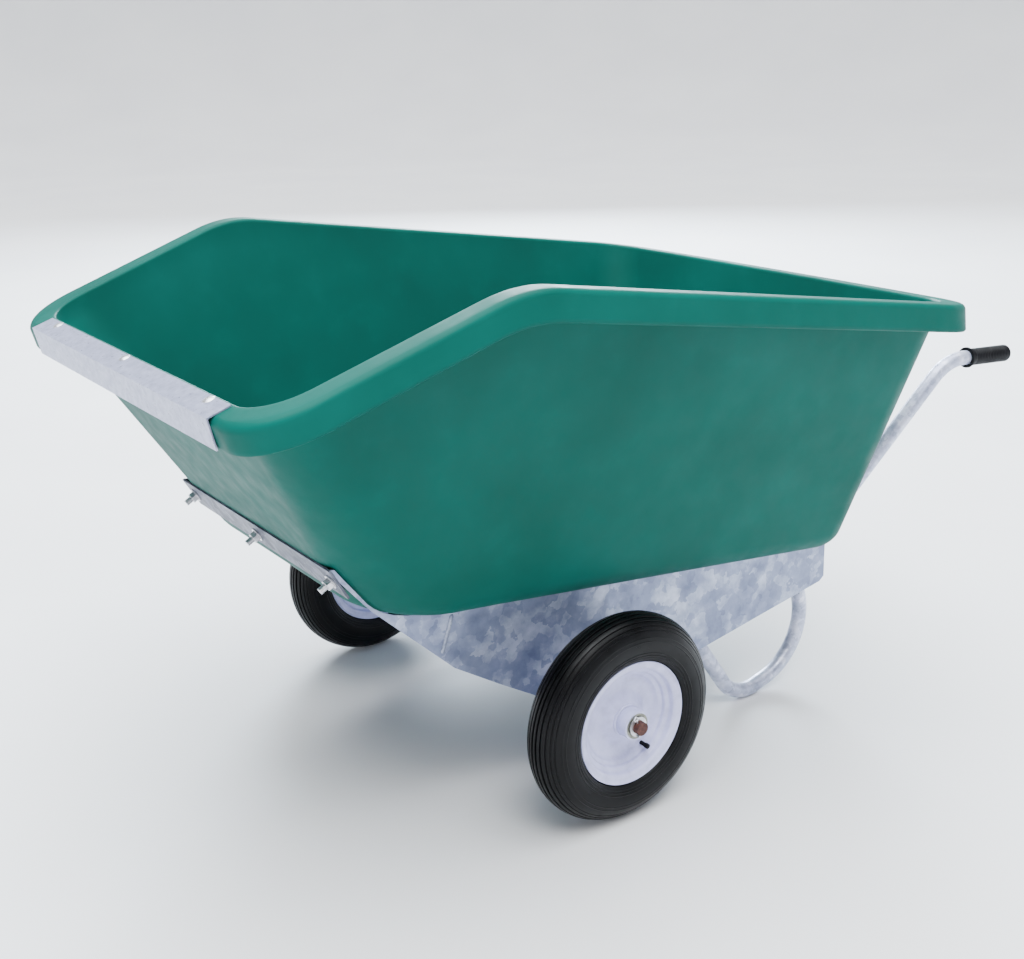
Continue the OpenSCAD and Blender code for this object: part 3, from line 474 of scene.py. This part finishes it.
def tub_rows():
    """Rows of the tub's skin from the middle of the floor inside, over the rim and back underneath."""
    quarter = np.linspace(0, math.pi / 2, 7)
    inside_top = rim_row(-WALL, EDGE_IN)
    outside_top = rim_row(0, WALL)
    inner = fillet_rows(WALL, INSET_FLOOR, FLOOR_Z + WALL, inside_top)
    outer = fillet_rows(0, 0, FLOOR_Z, outside_top)
    foot = LEDGE + FLARE
    rows = [lerp(np.array([-0.1, 0, FLOOR_Z + WALL]), inner[0], k) for k in (0.002, 0.25, 0.5, 0.75)]
    rows += inner + between(inner[-1], inside_top, 14)
    rows += [rim_row(-WALL + EDGE_IN * (1 - math.cos(a)), EDGE_IN * (1 - math.sin(a))) for a in quarter]
    rows += [rim_row(o, 0) for o in (0.010, 0.018, 0.026)]
    rows += [rim_row(LEDGE - EDGE_OUT * (1 - math.sin(a)), EDGE_OUT * (1 - math.cos(a))) for a in quarter]
    skirt_top, skirt_foot = rows[-1], rim_row(foot - 0.0008, SKIRT - 0.003, -LIP_LEAN)
    rows += between(skirt_top, skirt_foot, 6) + [skirt_foot, rim_row(foot - 0.003, SKIRT, -LIP_LEAN)]
    rows += [rim_row(foot - WALL + 0.001, SKIRT, -LIP_LEAN), rim_row(foot - WALL, SKIRT - 0.002, -LIP_LEAN)]
    rows += between(rows[-1], rim_row(LEDGE - WALL, WALL + 0.004), 3)
    rows += [rim_row(LEDGE - WALL, WALL + 0.004), rim_row(LEDGE - WALL - 0.004, WALL)]
    rows += [rim_row(0.004, WALL), rim_row(0, WALL + 0.004)]
    rows += between(rows[-1], outer[-1], 14) + outer[::-1]
    rows += [lerp(np.array([-0.1, 0, FLOOR_Z]), outer[0], k) for k in (0.75, 0.5, 0.25, 0.002)]
    return np.array(rows)


def build_tub():
    """The tub as one closed skin, its two poles closed by flat caps in the floor."""
    rows = tub_rows()
    piece("tub_skin", leaned(rows), capped(rows), PLASTIC, "cart", ("tub",), 60)


build_tub()

# ---- tubes, grips and welds ----------------------------------------------------------


def bent_route(p, r1, r2):
    """Points and directions along straights and two round bends."""
    p = [np.asarray(q, float) for q in p]
    places, ways = [p[0]], [unit(p[1] - p[0])]
    for i, radius in ((1, r1), (2, r2)):
        u, v = unit(p[i] - p[i - 1]), unit(p[i + 1] - p[i])
        turn = math.acos(float(u @ v))
        places += list(corner_arc(p[i - 1], p[i], p[i + 1], radius, 20))
        k = np.linspace(0, 1, 21)[:, None]
        ways += list((u * np.sin(turn * (1 - k)) + v * np.sin(turn * k)) / math.sin(turn))
    return np.array(places + [p[3]]), np.array(ways + [unit(p[3] - p[2])])


def swept(places, ways, radius, around=40):
    """Circles of a radius set square to a route: centre plus radius times two cross directions."""
    x = unit(np.cross([0.0, 1.0, 0.0], ways))
    y = np.cross(ways, x)
    a = np.linspace(0, 2 * math.pi, around, endpoint=False)[None, :, None]
    radius = np.broadcast_to(radius, len(places))[:, None, None]
    return places[:, None] + radius * (x[:, None] * np.cos(a) + y[:, None] * np.sin(a))


def open_tube(places, ways, outer, bore):
    """A tube with a wall: the outer sweep, rounded over its ends, and back down the bore."""
    lip = 0.0006
    first, last = places[0], places[-1]
    p = np.concatenate([[first, first + ways[0] * lip], places[1:-1], [last - ways[-1] * lip, last]])
    w = np.concatenate([[ways[0], ways[0]], ways[1:-1], [ways[-1], ways[-1]]])
    radii = np.full(len(p), outer)
    radii[[0, -1]] -= lip
    rows = np.concatenate([swept(p, w, radii), swept(p[::-1], w[::-1], bore)])
    return rows, grid_faces(len(rows), rows.shape[1], wrap_rows=True, wrap_cols=True)


def sided(points, side):
    """The same points on the left, or mirrored onto the right."""
    return np.asarray(points) * [1, side, 1]


TUBE_R, TUBE_WALL = 0.016, 0.0025
PLATE_IN, PLATE_T = 0.296, 0.004
TUBE_Y = PLATE_IN - TUBE_R - 0.0003
TUBE_Z = FLOOR_Z - 0.0003 - PLATE_T - 0.0003 - TUBE_R
HANDLE_LOW = np.array([-0.675, TUBE_Y - 0.004, TUBE_Z])
HANDLE_UP = HANDLE_LOW + [-(0.588 - TUBE_Z) / math.tan(math.radians(52.5)), (0.350 - HANDLE_LOW[1]) * 0.8,
                          0.588 - TUBE_Z]
HANDLE_TIP = np.array([HANDLE_UP[0] - 0.186, 0.350, HANDLE_UP[2] + 0.186 * math.tan(math.radians(3))])
HANDLE = [HANDLE_LOW + [0.255, 0, 0], HANDLE_LOW, HANDLE_UP, HANDLE_TIP]
LEG = [[-0.630, TUBE_Y, 0.144], [-0.7108, TUBE_Y, -0.0612],
       [-0.4939, TUBE_Y, -0.1435], [-0.300, TUBE_Y, 0.080]]
GRIP_LEN, GRIP_R, GRIP_OVER = 0.132, 0.019, 0.006


def grip_rows():
    """Radius over length and angle: a flange, a body with ribs round it and a domed end."""
    z = np.concatenate([[0, 0.0006, 0.0044, 0.005], np.linspace(0.007, GRIP_LEN - 0.007, 90),
                        GRIP_LEN - 0.006 * (1 - np.sin(np.linspace(0.1, math.pi / 2, 8)))])
    rib = 0.0011 * np.clip(np.sin(z / 0.0052 * 2 * math.pi) * 1.6, -1, 0)
    r = GRIP_R + np.where((z > 0.018) & (z < GRIP_LEN - 0.016), rib, 0)
    r[:4] = GRIP_R + np.array([0.0030, 0.004, 0.004, 0.0030])
    r[-8:] = GRIP_R - 0.006 + 0.006 * np.cos(np.linspace(0.1, math.pi / 2, 8))
    return z, r


def at_tip(z, r, around=64):
    """Circles along the handle's end, measured from the grip's front."""
    way = unit(HANDLE_TIP - HANDLE_UP)
    places = HANDLE_TIP + way * (GRIP_OVER - GRIP_LEN + z[:, None])
    return swept(places, np.broadcast_to(way, places.shape), r, around)


def build_grip(side, word):
    """The grip as one skin of circles: a small step round the tube's hole, the ribbed body and a
    flat end, closed by a cap at each end."""
    z, r = grip_rows()
    hole = at_tip(np.array([0.0006, 0.0]), np.array([0.01635, 0.0168]))
    end = at_tip(np.array([GRIP_LEN - 0.0001] * 2), np.array([0.006, 0.0005]))
    rows = np.concatenate([hole, at_tip(z, r), end])
    piece("grip_skin_" + word, leaned(sided(rows, side)), capped(rows), GRIP, "cart",
          ("grip_" + word,), 45)


def bead(route, width, height, seed, across=10):
    """A weld bead along a route of places: an oval about each place, width across and height along
    the normal, times a ripple like laid coins and rounded off at both ends."""
    places, normal = route
    s = np.concatenate([[0], np.cumsum(np.linalg.norm(np.diff(places, axis=0), axis=1))])
    way = unit(np.gradient(places, axis=0))
    over = unit(np.cross(way, normal))
    end = np.sqrt(np.clip(1 - (1 - np.minimum(s, s[-1] - s) / (width * 0.7)).clip(0) ** 2, 0.02, 1))
    ripple = 1 + 0.16 * np.abs(np.sin(s / 0.0042 * math.pi)) + 0.08 * noise_wave(s / 0.01, seed)
    a = np.linspace(0, 2 * math.pi, across * 2, endpoint=False)[None, :, None]
    size = (end * ripple)[:, None, None]
    oval = over[:, None] * np.cos(a) * width / 2 + normal[:, None] * np.sin(a) * height
    return places[:, None] + size * oval


def bead_piece(name, routes, width, height, side=1, seed=1):
    """Weld beads along several routes as one piece, on the left or mirrored onto the right."""
    parts = []
    for k, route in enumerate(routes):
        rows = sided(bead(route, width, height, seed + k), side)
        parts.append((leaned(rows), capped(rows)))
    points, faces = joined(parts)
    piece(name, points, faces, WELD_ZINC, "cart", (), 60)


def line_route(a, b, normal, step=0.0012):
    """Places from a to b with one normal all along."""
    a, b = np.asarray(a, float), np.asarray(b, float)
    n = max(int(np.linalg.norm(b - a) / step), 4)
    places = lerp(a, b, np.linspace(0, 1, n)[:, None])
    return places, np.broadcast_to(unit(normal), places.shape)


def ring_route(y, radius, n=110):
    """Places round the axle at a distance out, with normals at half a right angle."""
    a = np.linspace(0, 2 * math.pi, n)
    out = np.stack([np.cos(a), 0 * a, np.sin(a)], -1)
    return out * radius + [0, y, 0], unit(out + [0, 0.8, 0])


def build_tubes():
    """Handle and leg tubes, grips and welds, each drawn on the left and mirrored onto the right."""
    bends = (("handle_tube_", HANDLE, (0.100, 0.110)), ("leg_loop_", LEG, (0.135, 0.090)))
    for side, word in ((1, "left"), (-1, "right")):
        for name, path, radii in bends:
            places, ways = bent_route(path, *radii)
            rows, faces = open_tube(places, ways, TUBE_R, TUBE_R - TUBE_WALL)
            piece(name[:-1] + "_bent_" + word, leaned(sided(rows, side)), faces, TUBE_ZINC, "cart",
                  (name + word,), 50)
        build_grip(side, word)
        leg = np.array(LEG)
        down = unit(leg[1] - leg[0])
        front = unit(leg[2] - leg[3])
        inner, outer = PLATE_IN - 0.0012, PLATE_IN + PLATE_T
        rear = leg[0] + [0.012, inner - TUBE_Y, 0]
        fore = leg[3] + [0.010, inner - TUBE_Y, 0.008]
        bead_piece("leg_weld_" + word, [
            line_route(rear, rear + down * 0.07, [1, -1, 0]),
            line_route(fore, fore + front * 0.06, [1, -1, 0]),
        ], 0.007, 0.0035, side, 11)
        bead_piece("axle_weld_" + word, [ring_route(outer + 0.0008, 0.0185)], 0.007, 0.004, side, 31)
        bead_piece("axle_tube_weld_" + word, [ring_route(inner, 0.0215)], 0.007, 0.004, side, 41)
        seam = line_route([0.292, outer + 0.0002, 0.118], [0.276, outer + 0.0002, 0.190], [0, 1, 0])
        bead_piece("plate_weld_" + word, [seam], 0.008, 0.0022, side, 51)


build_tubes()

# ---- wheels --------------------------------------------------------------------------

TYRE_R, SECTION_H, TYRE_W = 0.200, 0.052, 0.094
SECTION_R = TYRE_R - SECTION_H
RIM_R, RIM_W, RIM_T = 0.1185, 0.077, 0.002
HUB_R = 0.028
WHISKERS = 70


def spun(profile, side, around):
    """A profile of radius and outward offset turned about the wheel's axis."""
    a = np.linspace(0, 2 * math.pi, around, endpoint=False)[None, :]
    r, y = profile[:, :1], profile[:, 1:2] + 0 * a
    rows = np.stack([r * np.cos(a), (y + WHEEL_Y) * side, r * np.sin(a)], -1)
    return rows + [AXLE[0], 0, AXLE[2]]


def tyre_profile():
    """Section of the tyre: an ellipse whose tread is cut by grooves round it, with thin lines and a
    step moulded on its sidewalls, then round the beads and back inside."""
    bead_angle = math.acos((RIM_R + 0.003 - SECTION_R) / SECTION_H)
    a = np.linspace(-bead_angle, bead_angle, 900)
    arc = a * 0.5 * (SECTION_H + TYRE_W / 2)
    depth = np.zeros_like(a)
    # Five straight grooves on the crown and two finer ones on each shoulder
    for centre, half, deep in ((0, 0.0019, 0.0042), (0.0095, 0.0017, 0.0040), (0.0195, 0.0016, 0.0036),
                               (0.0300, 0.0014, 0.0028), (0.0390, 0.0011, 0.0018), (0.0465, 0.0009, 0.0012)):
        near = np.abs(np.abs(arc) - centre) / half
        depth += deep * (1 / (1 + np.exp((near - 1) * 9)))
    # Raised lines low on the sidewall and by the rim
    for centre, half, high in ((0.060, 0.0008, 0.0006), (0.0668, 0.0007, 0.0006), (0.0880, 0.0010, 0.0009),
                               (0.0935, 0.0009, 0.0010), (0.0985, 0.0008, 0.0006)):
        near = np.abs(np.abs(arc) - centre) / half
        depth -= high * (1 / (1 + np.exp((near - 1) * 8)))
    top = 0.0004
    outer = np.stack([SECTION_R + (SECTION_H - depth - top) * np.cos(a),
                      (TYRE_W / 2 - depth - top) * np.sin(a)], -1)
    bead_y = RIM_W / 2 - 0.0035 - RIM_T - 0.0003
    seat = RIM_R - 0.012
    side = np.array([[seat, bead_y - 0.009], [seat, bead_y - 0.003], [seat + 0.003, bead_y],
                     [RIM_R - 0.0035, bead_y], [RIM_R + 0.002, RIM_W / 2 - 0.0035]])
    b = np.linspace(bead_angle, -bead_angle, 40)
    inner = np.stack([SECTION_R + (SECTION_H - 0.007) * np.cos(b), (TYRE_W / 2 - 0.007) * np.sin(b)], -1)
    return np.concatenate([side * [1, -1], outer, side[::-1], inner])


def smooth_path(points, n=10):
    """A curve through points (Catmull and Rom), n steps to each span."""
    p = np.asarray(points, float)
    p = np.concatenate([[2 * p[0] - p[1]], p, [2 * p[-1] - p[-2]]])
    t = np.linspace(0, 1, n, endpoint=False)[:, None]
    out = []
    for i in range(len(p) - 3):
        a, b, c, d = p[i:i + 4]
        out.append(0.5 * (2 * b + (c - a) * t + (2 * a - 5 * b + 4 * c - d) * t**2
                          + (3 * b - a - 3 * c + d) * t**3))
    return np.concatenate(out + [[p[-2]]])


def rim_profile():
    """Section of a pressed rim half: rolled lip, bead seat, rounded steps, dished disc and hub cone."""
    steps = [[0, 0.0380], [0.0012, 0.0376], [0.004, 0.0352], [0.008, 0.0347], [0.012, 0.0343],
             [0.0155, 0.0318], [0.0168, 0.0275], [0.0185, 0.0228], [0.0245, 0.0200], [0.0265, 0.0170],
             [0.0275, 0.0132], [0.0335, 0.0100], [0.0365, 0.0065], [0.0405, 0.0032], [0.047, 0.0026]]
    disc = [[0.060, 0.0030], [0.053, 0.0042], [0.0455, 0.0085], [0.0385, 0.0150], [0.0335, 0.0192],
            [0.0300, 0.0200], [0.0284, 0.0200]]
    path = smooth_path([[RIM_R - inward, out] for inward, out in steps] + disc, 6)
    way = unit(np.gradient(path, axis=0))
    inside = path + np.stack([-way[:, 1], way[:, 0]], -1) * RIM_T * 0.95
    inside[:, 1] = np.maximum(inside[:, 1], 0.0002)
    return np.concatenate([path, inside[::-1]])


def whiskers(side):
    """Short rubber spurs left by the mould's vents: at each seeded place on the tyre's ellipse, a
    five-sided stub along the normal, narrower at its tip and kept inside the tyre's radius."""
    rng = np.random.default_rng(7 if side > 0 else 8)
    turn = rng.uniform(0, 2 * math.pi, WHISKERS)
    lift = np.sign(rng.uniform(-1, 1, WHISKERS)) * rng.uniform(0.85, 1.75, WHISKERS)
    out_r, out_y = np.cos(lift), np.sin(lift)
    r, y = SECTION_R + (SECTION_H - 0.0012) * out_r, (TYRE_W / 2 - 0.0012) * out_y
    foot = np.stack([r * np.cos(turn), (y + WHEEL_Y) * side, r * np.sin(turn)], -1) + [AXLE[0], 0, AXLE[2]]
    way = unit(np.stack([out_r * np.cos(turn), out_y * side, out_r * np.sin(turn)], -1))
    across = unit(np.cross(way, [0.3, 0.5, 0.8]))
    over = np.cross(way, across)
    a = np.linspace(0, 2 * math.pi, 5, endpoint=False)[None, :, None]
    ring = across[:, None] * np.cos(a) + over[:, None] * np.sin(a)
    stubs = np.concatenate([foot[:, None] + 0.0006 * ring, (foot + way * 0.0024)[:, None] + 0.0003 * ring], 1)
    from_axle = stubs[..., [0, 2]] - [AXLE[0], AXLE[2]]
    reach = np.linalg.norm(from_axle, axis=-1, keepdims=True)
    stubs[..., [0, 2]] = [AXLE[0], AXLE[2]] + from_axle * np.minimum(1, (TYRE_R - 0.0003) / reach)
    faces = grid_faces(2, 5, wrap_cols=True) + [[4, 3, 2, 1, 0], [5, 6, 7, 8, 9]]
    return joined([(stub, faces) for stub in stubs])


def hub_weld(side, sense):
    """A rippled ring of weld: small circles carried round the hub at the mouth of the rim's cone."""
    a = np.linspace(0, 2 * math.pi, 150)[:, None]
    t = np.linspace(0, 2 * math.pi, 12, endpoint=False)[None]
    size = 0.0026 * (1 + 0.10 * np.abs(np.sin(a * 24)) + 0.05 * noise_wave(a * 3, 5))
    r = HUB_R + 0.0012 + size * np.cos(t)
    y = (0.0212 * sense + size * np.sin(t) + WHEEL_Y) * side
    return np.stack([r * np.cos(a), y, r * np.sin(a)], -1)[:-1] + [AXLE[0], 0, AXLE[2]]


def build_wheel(side, word):
    """Tyre, whiskers, rim halves and hub welds of one wheel, each a section turned about the axle."""
    body = "wheel_" + word

    def turned(name, rows, material, replaced, smooth):
        faces = grid_faces(len(rows), rows.shape[1], wrap_rows=True, wrap_cols=True)
        piece(name, rows, faces, material, body, replaced, smooth)

    turned("tyre_ribbed_" + word, spun(tyre_profile(), side, 96), TYRE, ("tyre_" + word,), 55)
    points, faces = whiskers(side)
    piece("tyre_whiskers_" + word, points, faces, TYRE, body, (), 40)
    for half, sense in (("outer", 1), ("inner", -1)):
        turned(f"rim_{half}_pressed_{word}", spun(rim_profile() * [1, sense], side, 128), COAT,
               (f"rim_{half}_{word}",), 50)
        turned(f"hub_weld_{half}_{word}", hub_weld(side, sense), COAT, (), 70)


build_wheel(1, "left")
build_wheel(-1, "right")

# ---- threads -------------------------------------------------------------------------


def thread(radius, length, pitch, depth, around=28):
    """A screwed rod: radius less depth times a triangle wave of height over pitch minus turn."""
    z = np.linspace(0, length, int(length / pitch * 8) + 1)
    a = np.linspace(0, 2 * math.pi, around, endpoint=False)
    wave = np.abs(((z[:, None] / pitch - a[None] / (2 * math.pi)) % 1) * 2 - 1)
    taper = np.clip((length - z) / (pitch * 0.8), 0.0, 1)[:, None]
    r = radius - depth * wave - depth * 0.8 * (1 - taper)
    return np.stack([r * np.cos(a), r * np.sin(a), z[:, None] + 0 * a[None]], -1)


def threaded(name, places, z_way, radius, length, pitch, depth):
    """Screwed rods at places that point along z_way."""
    z_way = unit(z_way)
    x_way = unit(np.cross([0.0, 1.0, 0.0], z_way))
    turn = np.stack([x_way, np.cross(z_way, x_way), z_way])
    parts = []
    for place in places:
        rows = thread(radius, length, pitch, depth) @ turn + place
        parts.append((leaned(rows), capped(rows)))
    points, faces = joined(parts)
    piece(name, points, faces, BOLT_ZINC, "cart", (), 25)


WALL_OUT = np.array([math.sin(WALL_ANGLE), 0, -math.cos(WALL_ANGLE)])
STRAP_AT = np.array([0.446 + 0.095 * math.cos(WALL_ANGLE), 0, FLOOR_Z + 0.095 * math.sin(WALL_ANGLE)])
threaded("strap_bolt_threads", [STRAP_AT + [0, y, 0] + WALL_OUT * 0.0172 for y in (-0.276, 0, 0.276)],
         WALL_OUT, 0.00602, 0.0125, 0.00175, 0.0008)
threaded("floor_bolt_threads", [np.array([x, y * s, FLOOR_Z - 0.0152]) for s in (-1, 1)
                                for x, y in ((0.290, 0.276), (-0.020, 0.276), (-0.330, 0.276), (0.240, 0.130),
                                             (-0.560, 0.130))],
         [0, 0, -1], 0.00502, 0.0044, 0.0015, 0.0006)

# ---- the rest of the CAD nodes -------------------------------------------------------

SOFT = {
    "lip_guard": (0.0008, GUARD_ZINC, "bright_zinc"),
    "front_strap": (0.0008, STRAP_ZINC_SHADED, "galvanised_steel"),
    "side_plate_left": (0.0008, PLATE_ZINC, "galvanised_steel"),
    "side_plate_right": (0.0008, PLATE_ZINC, "galvanised_steel"),
    "cross_bar_front": (0.0008, PLATE_ZINC, "galvanised_steel"),
    "cross_bar_rear": (0.0008, PLATE_ZINC, "galvanised_steel"),
    "strap_nuts": (0.0007, BOLT_ZINC, "zinc_fastener"),
    "strap_washers": (0.0004, BOLT_ZINC, "zinc_fastener"),
    "floor_nuts": (0.0006, BOLT_ZINC, "zinc_fastener"),
    "floor_washers": (0.0004, BOLT_ZINC, "zinc_fastener"),
    "lip_guard_nuts": (0.0005, BOLT_ZINC, "zinc_fastener"),
}
for node, (width, material, slot_name) in SOFT.items():
    softened(node + "_edged", node, width, material, "cart")

PLAIN = {
    "lip_guard_bolts": BOLT_ZINC, "strap_bolts": BOLT_ZINC, "floor_bolts": BOLT_ZINC, "axle": RUST,
    "axle_tube": TUBE_ZINC, "spacer_left": TUBE_ZINC, "spacer_right": TUBE_ZINC, "axle_washers": BOLT_ZINC,
    "split_pin_left": BOLT_ZINC, "split_pin_right": BOLT_ZINC,
}
for word in ("left", "right"):
    PLAIN.update({"inner_tube_" + word: BUTYL, "hub_tube_" + word: COAT, "bearing_outer_" + word: BEARING,
                  "bearing_inner_" + word: BEARING, "valve_stem_" + word: BUTYL, "valve_cap_" + word: BUTYL})
for node, material in PLAIN.items():
    mesh = NODES[node].data
    mesh.materials.clear()
    mesh.materials.append(material)

# ---- floor, light and camera ---------------------------------------------------------


def studio_floor():
    """A pale painted floor that curves up into a round wall: flat out to a radius, then a quarter
    circle, then straight up, turned about the vertical."""
    flat, bend, top = 12.0, 5.0, 9.0
    rise = np.linspace(0, math.pi / 2, 24)
    r = np.concatenate([[0.01, 2, 5, 9], flat + bend * np.sin(rise), [flat + bend]])
    z = np.concatenate([[0, 0, 0, 0], bend * (1 - np.cos(rise)), [top]])
    turn = np.linspace(2 * math.pi, 0, 96, endpoint=False)
    rows = np.stack([r[:, None] * np.cos(turn), r[:, None] * np.sin(turn), z[:, None] + 0 * turn], -1)
    mesh = bpy.data.meshes.new("floor")
    faces = grid_faces(len(rows), 96, wrap_cols=True) + [list(range(96))[::-1]]
    mesh.from_pydata(rows.reshape(-1, 3).tolist(), [], faces)
    mesh.shade_smooth()
    mesh.materials.append(painted_floor())
    floor = bpy.data.objects.new("floor", mesh)
    bpy.context.scene.collection.objects.link(floor)


def aim(obj, target):
    """Turns an object so that its -Z axis points at the target."""
    obj.rotation_euler = (Vector(target) - obj.location).to_track_quat("-Z", "Y").to_euler()


def lamp(name, kind, place, target, strength, colour, **shape):
    """A soft lamp of a kind and shape, aimed at a target."""
    data = bpy.data.lights.new(name, kind)
    data.energy = strength
    data.color = colour
    for key, value in shape.items():
        setattr(data, key, value)
    obj = bpy.data.objects.new(name, data)
    obj.location = place
    bpy.context.scene.collection.objects.link(obj)
    aim(obj, target)


def studio():
    """Even light from a wide sky, a broad overhead disc, and softer ones at the side and the back."""
    studio_floor()
    world = bpy.data.worlds.new("studio")
    bpy.context.scene.world = world
    world.use_nodes = True
    background = world.node_tree.nodes["Background"]
    background.inputs["Color"].default_value = (0.93, 0.96, 1.0, 1)
    background.inputs["Strength"].default_value = 0.30
    lamp("overhead", "AREA", (0.4, -0.4, 6.4), (0.0, -0.6, 0.4), 900, (0.90, 0.96, 1.0),
         shape="DISK", size=8.0)
    lamp("side", "AREA", (1.6, 3.2, 4.6), (0, 0, 0.5), 110, (1.0, 0.99, 0.97), shape="DISK", size=2.4)
    lamp("back", "AREA", (-4.0, -5.6, 3.5), (0.2, 0, 0.6), 1300, (0.78, 0.90, 1.0), shape="DISK", size=3.4)
    lamp("sky", "SUN", (0, 0, 6), (0, 0, 0), 5.5, (0.94, 0.97, 1.0), angle=math.radians(70))


def main_camera():
    """Camera at its place from the point under the axle, turned by azimuth, elevation and roll."""
    azimuth, elevation, roll = math.radians(144.446), math.radians(18.782), math.radians(-1.220)
    back = np.array([math.sin(azimuth) * math.cos(elevation), -math.cos(azimuth) * math.cos(elevation),
                     math.sin(elevation)])
    right = unit(np.cross([0, 0, 1.0], back))
    up = np.cross(back, right)
    r2 = math.cos(roll) * right + math.sin(roll) * up
    u2 = -math.sin(roll) * right + math.cos(roll) * up
    data = bpy.data.cameras.new("camera")
    data.sensor_width = 36.0
    data.lens = 46.494
    data.clip_end = 100
    camera = bpy.data.objects.new("camera", data)
    bpy.context.scene.collection.objects.link(camera)
    place = np.array([1.3963 + AXLE[0], 2.0882, 1.3862])
    camera.matrix_world = Matrix([[r2[0], u2[0], back[0], place[0]], [r2[1], u2[1], back[1], place[1]],
                                  [r2[2], u2[2], back[2], place[2]], [0, 0, 0, 1]])
    bpy.context.scene.camera = camera


studio()
main_camera()

bpy.context.view_layer.update()
